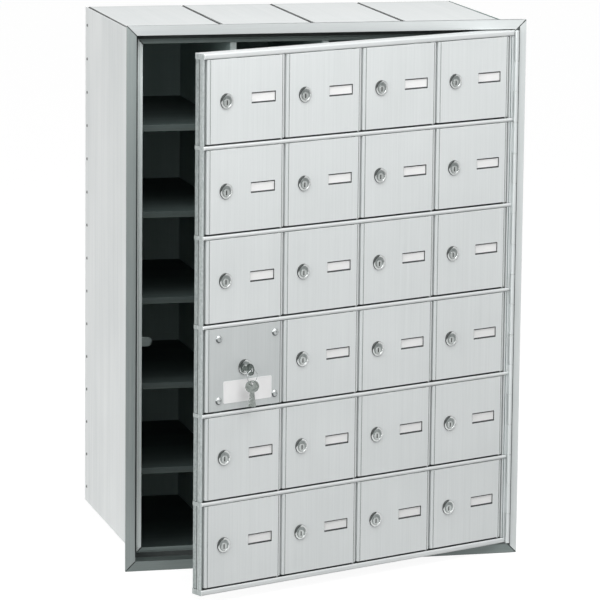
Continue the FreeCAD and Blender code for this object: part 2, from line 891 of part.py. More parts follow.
def flat_key():
    """Return a key lying flat: its bow round the origin, its blade along +X, its hole towards -X."""
    half = key_thickness / 2
    through = (-half, half)
    blade_end = key_bow_radius + key_shoulder + key_blade_length
    half_width = key_blade_width / 2
    bow = rod(key_bow_radius, Vector(0, 0, -half), Vector(0, 0, half))
    blade = block((0, blade_end), (-half_width, half_width), through)
    hole = rod(key_hole_radius, Vector(-key_hole_offset, 0, -half), Vector(-key_hole_offset, 0, half))
    cuts = [hole]
    pitch = key_blade_length / (key_notches + 1)
    for index in range(key_notches):
        x = blade_end - (index + 1) * pitch
        points = [
            Vector(x - key_notch_width / 2, half_width, -half),
            Vector(x, half_width - key_notch_depth, -half),
            Vector(x + key_notch_width / 2, half_width, -half),
        ]
        cuts.append(prism(points, UP * key_thickness))
    return bow.fuse(blade).removeSplitter().cut(cuts)


def master_key_hole():
    """Return the middle of the ring hole of the key that stands in the master lock."""
    x = column_left(lock_panel_column) + column_pitch / 2
    bow_middle = plug_front - key_shoulder - key_bow_radius
    return Vector(x, bow_middle - key_hole_offset, leaf_middle(lock_panel_row) - plug_drop)


def master_lock_core():
    """Return the turning pieces of the master lock and the key that stands in it."""
    hole = master_key_hole()
    key = flat_key()
    key.rotate(ORIGIN, RIGHT, 90)
    key.rotate(ORIGIN, UP, 90)
    key.translate(hole + BACK * key_hole_offset)
    core = lock_core(hole.x, leaf_middle(lock_panel_row), master_cam_length, master_cam_front)
    return [hang(piece) for piece in core + [key]]


def hanging_keys():
    """Return the ring through the master key's bow and the two keys that hang on it."""
    ring_middle = master_key_hole() - UP * key_ring_radius
    pieces = [Part.makeTorus(key_ring_radius, key_ring_wire, ring_middle, BACK)]
    for side in (-1, 1):
        angle = math.radians(hanging_key_angle)
        wire = ring_middle + RIGHT * (side * key_ring_radius * math.sin(angle)) - UP * (
            key_ring_radius * math.cos(angle))
        key = flat_key()
        key.translate(RIGHT * key_hole_offset)
        key.rotate(ORIGIN, UP, side * hanging_key_splay)
        key.rotate(ORIGIN, BACK, 90)
        key.rotate(ORIGIN, UP, hanging_key_turn)
        key.translate(wire - UP * hanging_key_drop)
        pieces.append(key)
    return [hang(piece) for piece in pieces]


def write_node(name, solids):
    """Write the solids of one node to its own file."""
    Part.makeCompound(solids).exportStep("parts/" + name + ".step")


def main():
    """Build every node and write it."""
    os.makedirs("parts", exist_ok=True)
    builders = [
        trim_frame_rails,
        side_panels,
        roof_floor_and_back_sheets,
        column_partitions,
        shelves,
        cabinet_rivets,
        main_hinge_fixed_leaf,
        main_hinge_door_leaf,
        door_rails,
        door_uprights,
        tenant_hinge_pins,
        lock_panel_set,
        master_lock_core,
        hanging_keys,
    ]
    for builder in builders:
        write_node(builder.__name__, builder())
    for row, column in small_doors():
        place = f"r{row}c{column}"
        write_node("tenant_door_" + place, tenant_door(row, column))
        write_node("tenant_lock_" + place, tenant_lock(row, column))


main()
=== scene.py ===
"""Looks of a horizontal apartment mailbox whose master door stands open. Lengths are in metres.

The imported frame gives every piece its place: X runs right, Y runs back into the wall and Z runs up.
Pieces of the master door are measured as if it were closed and are then turned to its resting angle.
"""

import json
import logging
import math
from collections.abc import Callable, Sequence
from dataclasses import dataclass, field, fields, replace
from enum import Enum
from functools import cache, partialmethod
from typing import ClassVar

import bmesh
import bpy
import numpy as np
from mathutils import Matrix, Quaternion, Vector

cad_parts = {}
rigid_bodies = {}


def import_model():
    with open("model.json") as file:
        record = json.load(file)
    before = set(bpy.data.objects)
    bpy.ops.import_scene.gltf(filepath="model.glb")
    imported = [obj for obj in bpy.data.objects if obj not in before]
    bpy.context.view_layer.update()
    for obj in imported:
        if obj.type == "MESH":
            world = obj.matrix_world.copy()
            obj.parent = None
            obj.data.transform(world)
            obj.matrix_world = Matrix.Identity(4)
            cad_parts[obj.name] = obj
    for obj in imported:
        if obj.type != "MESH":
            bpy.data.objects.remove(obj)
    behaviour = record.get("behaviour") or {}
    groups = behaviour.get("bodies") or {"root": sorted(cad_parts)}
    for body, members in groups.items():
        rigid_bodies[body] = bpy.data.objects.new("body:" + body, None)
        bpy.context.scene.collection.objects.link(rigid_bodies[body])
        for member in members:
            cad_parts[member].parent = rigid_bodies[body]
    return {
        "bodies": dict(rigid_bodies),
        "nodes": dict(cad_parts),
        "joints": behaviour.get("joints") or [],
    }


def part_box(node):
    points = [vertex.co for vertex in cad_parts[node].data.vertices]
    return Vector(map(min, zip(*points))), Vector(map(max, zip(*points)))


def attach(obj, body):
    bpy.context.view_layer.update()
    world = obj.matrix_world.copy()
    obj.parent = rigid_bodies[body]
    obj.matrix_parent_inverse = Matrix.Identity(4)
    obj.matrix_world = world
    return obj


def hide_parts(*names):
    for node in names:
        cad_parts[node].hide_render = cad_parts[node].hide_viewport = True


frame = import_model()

LOG = logging.getLogger("mailbox")
Pair = tuple[float, float]
Triple = tuple[float, float, float]
Profile = list[tuple]
UP = Vector((0.0, 0.0, 1.0))
WHITE = (1.0, 1.0, 1.0, 1.0)

# Angles between two faces: at an edge that is rounded, within one flat face, at a crease in the shading.
SHARP_ANGLE = math.radians(32.0)
FLAT_ANGLE = math.radians(1.0)
SHADE_ANGLE = math.radians(50.0)

# Least cosine between a normal and a way, for a face that looks that way or leans that way.
FACING = 0.7
LEANING = 0.5

# Runs across a rounded edge and a rounded bend, and the bevel's value for a round section.
EDGE_RUNS = 2
BEND_RUNS = 5
ROUND = 0.5

# Points that agree to this many places, or lie closer than this, are one.
PLACES = 6
WELD = 1e-6

# How a pattern becomes a tone: its middle, the gain about it and the share of its finer octaves.
MID_TONE = 0.5
TONE_GAIN = 2.2
NOISE_ROUGHNESS = 0.6

# How a rubbed edge differs from its surface: brighter up to a limit, and smoother.
EDGE_GAIN = 1.18
EDGE_LIMIT = 0.93
EDGE_POLISH = 0.8


@dataclass(eq=False)
class Sock:
    """A node's output that takes part in sums, so that an expression adds its Math nodes."""

    graph: "Graph"
    socket: bpy.types.NodeSocket

    def math(self, operation: str, other: "Sock | float" = 0.0) -> "Sock":
        """Return a Math node's result, with this value first."""
        return self.graph.add("ShaderNodeMath", {0: self, 1: other}, operation=operation)[0]

    def __rsub__(self, other: float) -> "Sock":
        """Return a number less this value."""
        return self * -1.0 + other

    __add__ = __radd__ = partialmethod(math, "ADD")
    __sub__ = partialmethod(math, "SUBTRACT")
    __mul__ = partialmethod(math, "MULTIPLY")
    __truediv__ = partialmethod(math, "DIVIDE")


@dataclass(eq=False)
class Made:
    """A node that was added, whose outputs are read by name, identifier or number."""

    graph: "Graph"
    node: bpy.types.Node

    def __getitem__(self, key: str | int) -> Sock:
        """Return one output."""
        return Sock(self.graph, find_socket(self.node.outputs, key))


def find_socket(sockets: Sequence[bpy.types.NodeSocket], key: str | int) -> bpy.types.NodeSocket:
    """Return a node's input or output by its number, identifier or name."""
    return next(socket for number, socket in enumerate(sockets)
                if key in (number, socket.identifier, socket.name))


@dataclass(frozen=True)
class Layer:
    """A noise in a pattern: its share of the tone, its sizes, its turn about Z and its octaves."""

    share: float
    sizes: Triple
    turn: float = 0.0
    detail: float = 2.0


@dataclass(eq=False)
class Graph:
    """A node tree under construction."""

    tree: bpy.types.NodeTree

    def add(self, kind: str, values: dict | None = None, **settings: object) -> Made:
        """Add one node.

        Args:
            kind: The node's type.
            values: Numbers or links for its inputs, by name, identifier or number.
            settings: Properties of the node, which are set first.

        Returns:
            The node.
        """
        node = self.tree.nodes.new(kind)
        for name, value in settings.items():
            setattr(node, name, value)
        self.fill(node, values or {})
        return Made(self, node)

    def fill(self, node: bpy.types.Node, values: dict) -> None:
        """Set or link inputs of a node.

        Args:
            node: The node.
            values: Numbers or links, by the inputs' names, identifiers or numbers.
        """
        for key, value in values.items():
            socket = find_socket(node.inputs, key)
            if isinstance(value, Sock):
                self.tree.links.new(value.socket, socket)
            else:
                socket.default_value = value

    def choose(self, index: Sock, options: Sequence[Sock | float]) -> Sock:
        """Choose among numbers.

        Args:
            index: The number of the option that is chosen.
            options: The options, counted from 0.

        Returns:
            The option.
        """
        made = self.add("GeometryNodeIndexSwitch", {"Index": index}, data_type="FLOAT")
        while len(made.node.index_switch_items) < len(options):
            made.node.index_switch_items.new()
        self.fill(made.node, {str(number): option for number, option in enumerate(options)})
        return made["Output"]

    def bar(self, sides: int, radius: Sock, length: Sock) -> Sock:
        """Return a straight bar about the Z axis."""
        sizes = {"Vertices": sides, "Radius": radius, "Depth": length}
        return self.add("GeometryNodeMeshCylinder", sizes)["Mesh"]

    def moved(self, shape: Sock, **shift: Sock) -> Sock:
        """Return a shape moved along the axes that are named."""
        way = self.add("ShaderNodeCombineXYZ", shift)["Vector"]
        return self.add("GeometryNodeTransform", {"Geometry": shape, "Translation": way})["Geometry"]

    def noise(self, place: Sock, layer: Layer) -> Sock:
        """Add the noise of a layer.

        Args:
            place: Coordinates in metres.
            layer: The layer.

        Returns:
            A value about one half.
        """
        mapping = {"Vector": place, "Rotation": (0.0, 0.0, layer.turn), "Scale": layer.sizes}
        mapped = self.add("ShaderNodeMapping", mapping, vector_type="TEXTURE")["Vector"]
        return self.add("ShaderNodeTexNoise", {
            "Vector": mapped, "Scale": 1.0, "Detail": layer.detail, "Roughness": NOISE_ROUGHNESS})["Fac"]

    def mix(self, factor: Sock, first: Triple, last: Triple) -> Sock:
        """Return the colour that lies between two by a factor."""
        values = {"Factor_Float": factor, "A_Color": (*first, 1.0), "B_Color": (*last, 1.0)}
        return self.add("ShaderNodeMix", values, data_type="RGBA")["Result_Color"]


def blank_graph(owner: bpy.types.Material | bpy.types.World) -> Graph:
    """Empty the node tree of a material or the world.

    Args:
        owner: The material or the world.

    Returns:
        The tree, ready for nodes.
    """
    owner.use_nodes = True
    owner.node_tree.nodes.clear()
    return Graph(owner.node_tree)


class MasterTurn:
    """The turn of the master door from closed to its resting angle."""

    def __init__(self, joints: Sequence[dict]) -> None:
        """Read the hinge's place and the resting angle.

        Args:
            joints: The frame's joints.
        """
        hinge = next(joint for joint in joints if joint["name"] == "master_door_hinge")
        self.angle = -math.radians(hinge["range_deg"][0])
        place = Vector(hinge["pos_m"])
        turn = Matrix.Rotation(self.angle, 4, "Z")
        self.matrix = Matrix.Translation(place) @ turn @ Matrix.Translation(-place)
        self.back = self.matrix.inverted()
        self.front = self.matrix.to_3x3() @ Vector((0.0, -1.0, 0.0))

    def closed(self, centre: Vector, normal: Vector) -> tuple[Vector, Vector]:
        """Return a point and a direction as they are when the door is closed."""
        return self.back @ centre, self.back.to_3x3() @ normal


DOOR = MasterTurn(frame["joints"])


class Grain(Enum):
    """Direction of a metal's brushing, as its long axis and the turn of its pattern about Z."""

    UPRIGHT = (2, 0.0)
    ACROSS = (0, 0.0)
    INWARD = (1, 0.0)
    ALONG_DOOR = (0, DOOR.angle)

    def sizes(self, width: float, length: float) -> Triple:
        """Return the size of a streak along each axis."""
        return tuple(length if axis == self.value[0] else width for axis in range(3))


@dataclass(frozen=True)
class Finish:
    """A surface that varies between two tones, from which one material is made."""

    name: str
    dark: Triple
    light: Triple
    roughness: float = 0.4
    spread: float = 0.15
    metallic: float = 0.0
    bump: float = 0.1
    bump_depth: float = 0.0002

    def layers(self) -> tuple[Layer, ...]:
        """Return the pattern, the relief first: here a fine tooth and soft clouds."""
        return Layer(share=0.3, sizes=(0.0006,) * 3), Layer(share=0.7, sizes=(0.03,) * 3)

    def make(self) -> bpy.types.Material:
        """Make the material.

        Returns:
            The material.
        """
        material = bpy.data.materials.new(self.name)
        graph = blank_graph(material)
        place = graph.add("ShaderNodeTexCoord")["Object"]
        noises = [graph.noise(place, layer) for layer in self.layers()]
        pattern = sum(noise * layer.share for noise, layer in zip(noises, self.layers()))
        sharper = (pattern - MID_TONE) * TONE_GAIN + MID_TONE
        tone = graph.add("ShaderNodeClamp", {"Value": sharper})["Result"]
        bumped = graph.add("ShaderNodeBump", {
            "Strength": self.bump, "Distance": self.bump_depth, "Height": noises[0]})
        shader = graph.add("ShaderNodeBsdfPrincipled", {
            "Base Color": graph.mix(tone, self.dark, self.light),
            "Roughness": (MID_TONE - tone) * self.spread + self.roughness,
            "Metallic": self.metallic,
            "Normal": bumped["Normal"],
        })
        graph.add("ShaderNodeOutputMaterial", {"Surface": shader["BSDF"]})
        return material

    def toned(self, name: str, dark: Triple, light: Triple, **changes: object) -> "Finish":
        """Return a like finish of another name and other tones."""
        return replace(self, name=name, dark=dark, light=light, **changes)

    def worn(self) -> "Finish":
        """Return the brighter, smoother finish of this surface's rubbed edges."""
        dark, light = (tuple(min(EDGE_LIMIT, value * EDGE_GAIN) for value in tone)
                       for tone in (self.dark, self.light))
        return self.toned(self.name + "_edge", dark, light, roughness=self.roughness * EDGE_POLISH)


@dataclass(frozen=True)
class Shade(Finish):
    """Painted shade: a dull dark colour deep in a joint, a groove or a cut, where shade falls; its edges
    stay dark.
    """

    roughness: float = 0.7

    def worn(self) -> "Finish":
        """Return the same finish."""
        return self


@dataclass(frozen=True)
class BrushedMetal(Finish):
    """Metal with fine streaks along its grain, broader bands and faint clouds."""

    metallic: float = 0.75
    grain: Grain = Grain.UPRIGHT
    streak: Pair = (0.0007, 0.09)
    band: Pair = (0.004, 0.35)
    cloud: float = 0.12

    def layers(self) -> tuple[Layer, ...]:
        """Return the pattern: streaks, which are the relief too, bands and clouds.

        Returns:
            The layers.
        """
        turn = self.grain.value[1]
        return (Layer(share=0.4, sizes=self.grain.sizes(*self.streak), turn=turn, detail=3.0),
                Layer(share=0.3, sizes=self.grain.sizes(*self.band), turn=turn),
                Layer(share=0.3, sizes=(self.cloud,) * 3))


@dataclass(frozen=True)
class PlatedMetal(Finish):
    """Plated metal with handling smudges and hair scratches."""

    metallic: float = 1.0
    smudge: float = 0.006
    scratch: Pair = (0.0002, 0.006)
    scratch_turn: float = 0.7

    def layers(self) -> tuple[Layer, ...]:
        """Return the pattern: scratches, which are the relief too, and smudges."""
        width, length = self.scratch
        return (Layer(share=0.25, sizes=(width, length, length), turn=self.scratch_turn),
                Layer(share=0.75, sizes=(self.smudge,) * 3, detail=4.0))


@cache
def material_of(finish: Finish) -> bpy.types.Material:
    """Return the one material of a finish."""
    return finish.make()


# Painted light and shade: the rails are one extrusion, each toned as light falls on it, the bottom darkest.
TRIM_LEFT = BrushedMetal(
    "trim_aluminium_left", (0.25, 0.288, 0.283), (0.365, 0.403, 0.398), 0.38, metallic=0.35)
TRIM_RIGHT = TRIM_LEFT.toned("trim_aluminium_right", (0.52, 0.55, 0.55), (0.64, 0.67, 0.67))
TRIM_TOP = TRIM_RIGHT.toned(
    "trim_aluminium_top", (0.54, 0.57, 0.57), (0.66, 0.69, 0.69), grain=Grain.ACROSS)
# The bottom rail's tone is also the painted shade on the frame's outer edges and on the strike plate.
TRIM_SHADE = TRIM_TOP.toned("trim_aluminium_bottom", (0.155, 0.188, 0.182), (0.23, 0.265, 0.258))
# Painted light on the left stop lip, and painted shade on the right, top and bottom ones.
STOP_LIP_LIT = TRIM_LEFT.toned("stop_lip_aluminium", (0.68, 0.74, 0.73), (0.82, 0.87, 0.86))
STOP_LIP_SHADE = TRIM_SHADE.toned("stop_lip_dull", (0.13, 0.165, 0.16), (0.21, 0.25, 0.24))
SIDE_SHEET = BrushedMetal("side_sheet", (0.66, 0.69, 0.69), (0.87, 0.89, 0.885), 0.5, metallic=0.45,
                          streak=(0.0015, 0.2), band=(0.022, 0.6), cloud=0.2)
ROOF_SHEET = SIDE_SHEET.toned("roof_sheet", (0.62, 0.65, 0.65), (0.72, 0.74, 0.74), grain=Grain.INWARD)
# Painted shade: the sheets are darker on faces inside the cabinet, darkest on the shelves and the floor.
INNER_SHEET = SIDE_SHEET.toned(
    "inner_sheet", (0.28, 0.37, 0.355), (0.39, 0.48, 0.465), metallic=0.2, roughness=0.6)
SHELF_SHEET = INNER_SHEET.toned(
    "shelf_sheet", (0.03, 0.044, 0.042), (0.055, 0.074, 0.071), grain=Grain.ACROSS)
# Painted light on the shelves' lips and the partitions' front edges, which face the light.
LIP_SHEET = SHELF_SHEET.toned("shelf_lip", (0.04, 0.056, 0.053), (0.07, 0.09, 0.086))
PARTITION_EDGE = INNER_SHEET.toned("partition_front", (0.36, 0.41, 0.40), (0.50, 0.55, 0.54))
RAIL_METAL = BrushedMetal("rail_aluminium", (0.60, 0.63, 0.63), (0.70, 0.72, 0.72), 0.36,
                          metallic=0.25, grain=Grain.ALONG_DOOR)
STILE_METAL = BrushedMetal("stile_aluminium", (0.13, 0.16, 0.155), (0.50, 0.54, 0.535), 0.4,
                           streak=(0.002, 0.006), band=(0.003, 0.016), cloud=0.004)
STILE_MOULDING = STILE_METAL.toned(
    "stile_moulding", (0.24, 0.28, 0.275), (0.62, 0.66, 0.655), metallic=0.3)
STILE_BEAD = replace(RAIL_METAL, name="stile_bead_aluminium", grain=Grain.UPRIGHT)
# Painted shade in the right stile's shallow groove.
STILE_CHANNEL = BrushedMetal("stile_channel", (0.24, 0.275, 0.28), (0.36, 0.40, 0.405), 0.4, cloud=0.007)
# Painted shade on the floor of the left stile's channel.
CHANNEL_SHADE = STILE_METAL.toned(
    "channel_aluminium", (0.10, 0.115, 0.113), (0.34, 0.37, 0.365), cloud=0.005)
# Painted shade on the mullions, which stand in the gaps between doors, and on the lock panel's bars.
MULLION_SHADE = STILE_CHANNEL.toned("mullion_aluminium", (0.05, 0.06, 0.06), (0.10, 0.12, 0.115))
DOOR_FACE = BrushedMetal("door_face_aluminium", (0.64, 0.67, 0.67), (0.76, 0.79, 0.79), 0.4, metallic=0.15)
# Painted shade on the beads: the same metal as the flat face, smoother, and toned darker for how light
# falls on them.
DOOR_BEAD = DOOR_FACE.toned(
    "door_bead_aluminium", (0.56, 0.59, 0.59), (0.67, 0.70, 0.70), roughness=0.34)
PANEL_FACE = DOOR_FACE.toned("lock_panel_aluminium", (0.50, 0.53, 0.53), (0.62, 0.65, 0.65))
HINGE_METAL = BrushedMetal("hinge_steel", (0.52, 0.55, 0.55), (0.66, 0.69, 0.69), 0.36, metallic=0.4)
CHROME = PlatedMetal("lock_chrome", (0.40, 0.42, 0.415), (0.68, 0.70, 0.695), 0.14, spread=0.1)
# Painted shade on the lock bezel's walls and a painted dark reflection on its upper left arc.
LOCK_PAINTED_DARK = PlatedMetal("lock_wall", (0.025, 0.029, 0.028), (0.07, 0.078, 0.076), 0.35, metallic=0.6)
DISH_METAL = PlatedMetal("lock_dish", (0.13, 0.145, 0.142), (0.30, 0.325, 0.32), 0.3, spread=0.12)
PLUG_METAL = PlatedMetal("lock_plug", (0.30, 0.32, 0.315), (0.52, 0.545, 0.535), 0.24, spread=0.12)
CAM_STEEL = PlatedMetal("cam_steel", (0.42, 0.42, 0.40), (0.60, 0.60, 0.57), 0.34, smudge=0.01)
KEY_NICKEL = PlatedMetal("key_nickel", (0.12, 0.137, 0.13), (0.36, 0.39, 0.37), 0.26, smudge=0.004)
KEY_EDGE = KEY_NICKEL.toned("key_nickel_dark", (0.03, 0.035, 0.033), (0.09, 0.10, 0.095))
RIVET_STEEL = PlatedMetal("rivet_steel", (0.012, 0.014, 0.0135), (0.035, 0.04, 0.038), 0.5, metallic=0.2)
SCREW_STEEL = PlatedMetal("screw_steel", (0.30, 0.32, 0.32), (0.52, 0.54, 0.54), 0.3)
# Painted shade on the lower side of the screw heads.
SCREW_SHADE = SCREW_STEEL.toned("screw_steel_dark", (0.07, 0.078, 0.078), (0.16, 0.175, 0.175))
CARD_PAPER = Finish("card_paper", (0.88, 0.885, 0.88), (0.95, 0.95, 0.945), 0.75, spread=0.08)
# The holder is near black, so that its strips above and below the card stand for the shade of a deep slot.
CARD_FRAME = Finish("card_holder_plastic", (0.035, 0.04, 0.04), (0.07, 0.075, 0.075), 0.5)
LABEL_PAINT = Finish("label_paint", (0.88, 0.885, 0.885), (0.95, 0.95, 0.95), 0.45, spread=0.1)
# Painted shade in seams, gaps, grooves, cuts and keyways; at the frame's mitres the joint shade is a dark
# joint.
DEEP_SHADE = Shade("deep_shade", (0.012, 0.014, 0.0135), (0.03, 0.034, 0.033))
JOINT_SHADE = Shade("joint_shade", (0.03, 0.036, 0.035), (0.07, 0.08, 0.078))
GROOVE_SHADE = Shade("groove_shade", (0.06, 0.07, 0.068), (0.11, 0.12, 0.118))

# A finish, or a function that gives the finish of a face from its middle and its normal.
Dress = Finish | Callable[[Vector, Vector], Finish]


@dataclass(eq=False)
class Solid:
    """One closed solid of a CAD node."""

    points: np.ndarray
    faces: np.ndarray

    def box(self, closed: bool = False) -> tuple[Vector, Vector]:
        """Measure the solid.

        Args:
            closed: Whether the master door's resting turn is taken back first.

        Returns:
            The lowest and the highest corner.
        """
        points = self.points
        if closed:
            back = np.array(DOOR.back)
            points = points @ back[:3, :3].T + back[:3, 3]
        return Vector(points.min(0)), Vector(points.max(0))

    def size(self, closed: bool = True) -> Vector:
        """Return the extents."""
        low, high = self.box(closed)
        return high - low

    def middle(self, closed: bool = True) -> Vector:
        """Return the middle of the box."""
        low, high = self.box(closed)
        return (low + high) / 2

    def opened(self) -> bmesh.types.BMesh:
        """Open the solid for work.

        Returns:
            A mesh under construction with the flat faces made whole.
        """
        part = bmesh.new()
        points = [part.verts.new(point) for point in self.points]
        for face in self.faces:
            if len(set(face)) == len(face):
                part.faces.new([points[corner] for corner in face])
        bmesh.ops.dissolve_limit(part, angle_limit=FLAT_ANGLE, verts=part.verts, edges=part.edges)
        return part

    def bent(self, radius: float, chosen: Callable[[bmesh.types.BMEdge], bool]) -> "Solid":
        """Round the edges of the solid's bends.

        Args:
            radius: Radius of the bends.
            chosen: Whether an edge is such a bend.

        Returns:
            The new solid.
        """
        part = self.opened()
        sharp = [line for line in part.edges if line.is_convex and line.calc_face_angle() > SHARP_ANGLE]
        bends = [line for line in sharp if chosen(line)]
        bmesh.ops.bevel(part, geom=bends, offset=radius, segments=BEND_RUNS, profile=ROUND, affect="EDGES")
        bmesh.ops.triangulate(part, faces=part.faces)
        part.verts.index_update()
        places = np.clip([point.co for point in part.verts], self.points.min(0), self.points.max(0))
        rounded = Solid(places, np.array([[point.index for point in face.verts] for face in part.faces]))
        part.free()
        return rounded


@cache
def solids_of(node: str) -> list[Solid]:
    """Split a CAD node into its closed solids.

    A solid ends at the triangle after which every edge has met its reverse.

    Args:
        node: The node's name.

    Returns:
        The solids, in the node's order.
    """
    mesh = frame["nodes"][node].data
    points = np.empty(len(mesh.vertices) * 3)
    mesh.vertices.foreach_get("co", points)
    corners = np.empty(len(mesh.loops), int)
    mesh.loops.foreach_get("vertex_index", corners)
    merged, places = np.unique(points.reshape(-1, 3).round(PLACES), axis=0, return_inverse=True)
    triangles = places.reshape(-1)[corners].reshape(-1, 3)
    waiting = set()
    first = 0
    solids = []
    for number, (a, b, c) in enumerate(triangles.tolist()):
        for edge in ((a, b), (b, c), (c, a)):
            if edge[::-1] in waiting:
                waiting.remove(edge[::-1])
            else:
                waiting.add(edge)
        if not waiting:
            used, faces = np.unique(triangles[first:number + 1], return_inverse=True)
            solids.append(Solid(merged[used], faces.reshape(-1, 3)))
            first = number + 1
    return solids


def linked(name: str, data: bpy.types.ID) -> bpy.types.Object:
    """Put a new object in the scene.

    Args:
        name: Its name.
        data: Its mesh, lamp or camera.

    Returns:
        The object.
    """
    shown = bpy.data.objects.new(name, data)
    bpy.context.scene.collection.objects.link(shown)
    return shown


def plain_mesh(shown: bpy.types.Object) -> bpy.types.Mesh:
    """Return a new mesh of what an object's modifiers give."""
    graph = bpy.context.evaluated_depsgraph_get()
    return bpy.data.meshes.new_from_object(
        shown.evaluated_get(graph), preserve_all_data_layers=True, depsgraph=graph)


@dataclass(eq=False)
class Piece:
    """A shown mesh gathered from solids: its name, its CAD body, its material slot and its finishes."""

    name: str
    body: str
    slot: str
    mesh: bmesh.types.BMesh = field(default_factory=bmesh.new)
    finishes: dict[Finish, int] = field(default_factory=dict)

    def number(self, finish: Finish) -> int:
        """Return the material number of a finish, which is added if it is new."""
        return self.finishes.setdefault(finish, len(self.finishes))

    def paint(self, face: bmesh.types.BMFace, dress: Dress, worn: bool = False) -> None:
        """Give a face its finish, or the worn form of it on a rubbed edge."""
        finish = dress if isinstance(dress, Finish) else dress(face.calc_center_median(), face.normal)
        face.material_index = self.number(finish.worn() if worn else finish)

    def add(self, solid: Solid, dress: Dress, edge: float, split: float | None = None) -> None:
        """Add a solid with its flat faces made whole and its sharp edges rounded.

        Args:
            solid: The solid.
            dress: Its finish or finishes.
            edge: Width of the rounding.
            split: X of a plane that parts its faces, so that each side has its own finish.
        """
        part = solid.opened()
        if split is not None:
            everything = [*part.verts, *part.edges, *part.faces]
            bmesh.ops.bisect_plane(
                part, geom=everything, plane_co=(split, 0.0, 0.0), plane_no=(1.0, 0.0, 0.0))
        for face in part.faces:
            self.paint(face, dress)
        sharp = [line for line in part.edges if line.is_manifold and line.calc_face_angle() > SHARP_ANGLE]
        made = bmesh.ops.bevel(part, geom=sharp, offset=edge, segments=EDGE_RUNS, profile=ROUND,
                               affect="EDGES", material=-1)
        low, high = solid.box()
        for point in part.verts:
            point.co = [min(max(value, least), most) for value, least, most in zip(point.co, low, high)]
        part.normal_update()
        for face in made["faces"]:
            self.paint(face, dress, worn=True)
        self.take(part)

    def take(self, part: bmesh.types.BMesh) -> None:
        """Add a mesh under construction and free it.

        Args:
            part: The mesh, whose faces have their material numbers.
        """
        spare = bpy.data.meshes.new("spare")
        part.to_mesh(spare)
        part.free()
        self.mesh.from_mesh(spare)
        bpy.data.meshes.remove(spare)

    def take_mesh(self, mesh: bpy.types.Mesh, dress: Dress) -> None:
        """Add a shaped mesh.

        Args:
            mesh: The mesh.
            dress: Its finish or finishes.
        """
        part = bmesh.new()
        part.from_mesh(mesh)
        for face in part.faces:
            self.paint(face, dress)
        self.take(part)

    def done(self, *nodes: str) -> None:
        """Make the object, seat it on its body and hide the nodes that it stands for.

        Args:
            nodes: The CAD nodes that it replaces.
        """
        mesh = bpy.data.meshes.new(self.name)
        self.mesh.to_mesh(mesh)
        self.mesh.free()
        for finish in self.finishes:
            mesh.materials.append(material_of(finish))
        mesh.polygons.foreach_set("use_smooth", [True] * len(mesh.polygons))
        mesh.set_sharp_from_angle(angle=SHADE_ANGLE)
        shown = linked(self.name, mesh)
        normals = shown.modifiers.new("even_normals", "WEIGHTED_NORMAL")
        normals.keep_sharp = True
        finished = plain_mesh(shown)
        shown.modifiers.clear()
        shown.data = finished
        bpy.data.meshes.remove(mesh)
        finished.name = self.name
        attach(shown, self.body)
        if nodes:
            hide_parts(*nodes)
        LOG.info("%s on %s: %d faces", self.name, self.body, len(finished.polygons))

    def stand_for(self, node: str, dress: Callable[[Solid], Dress], edge: float) -> None:
        """Show every solid of one CAD node and finish the piece.

        Args:
            node: The node.
            dress: Gives each solid its finish or finishes.
            edge: Width of the rounding.
        """
        for solid in solids_of(node):
            self.add(solid, dress(solid), edge)
        self.done(node)


@dataclass(frozen=True)
class Place:
    """A seat for a repeated part: a point and the way that the part's axis points."""

    point: Vector
    axis: Vector


def seat_of(solid: Solid, front: float) -> Place:
    """Return the seat, on the resting door, before a solid at a Y of the closed door."""
    middle = solid.middle()
    return Place(DOOR.matrix @ Vector((middle.x, front, middle.z)), DOOR.front)


def arc(centre: tuple[Sock, Sock], radius: Sock, first: float, last: float, steps: int) -> Profile:
    """Draw an arc in a profile.

    Args:
        centre: Distance from the axis and height of its middle.
        radius: Its radius.
        first: Angle of its first point, in degrees from the outward way.
        last: Angle of its last point.
        steps: Number of its runs.

    Returns:
        Pairs of distance from the axis and height.
    """
    angles = [math.radians(first + (last - first) * step / steps) for step in range(steps + 1)]
    return [(centre[0] + radius * math.cos(a), centre[1] + radius * math.sin(a)) for a in angles]


def dome(rim: Sock | float, edge: Sock, height: Sock, angles: Sequence[float]) -> Profile:
    """Draw a low dome in a profile.

    Args:
        rim: Distance from the axis where it is highest.
        edge: Distance from the axis where it meets the seat.
        height: Its height.
        angles: The points' angles, in degrees from the outward way.

    Returns:
        Pairs of distance from the axis and height.
    """
    turns = [math.radians(angle) for angle in angles]
    return [(rim + (edge - rim) * math.cos(turn), height * math.sin(turn)) for turn in turns]


def stem(radius: Sock, length: Sock) -> Profile:
    """Return the points of a straight stem behind the seat."""
    end = length * -1.0
    return [(radius, 0.0), (radius, end), (0.0, end)]


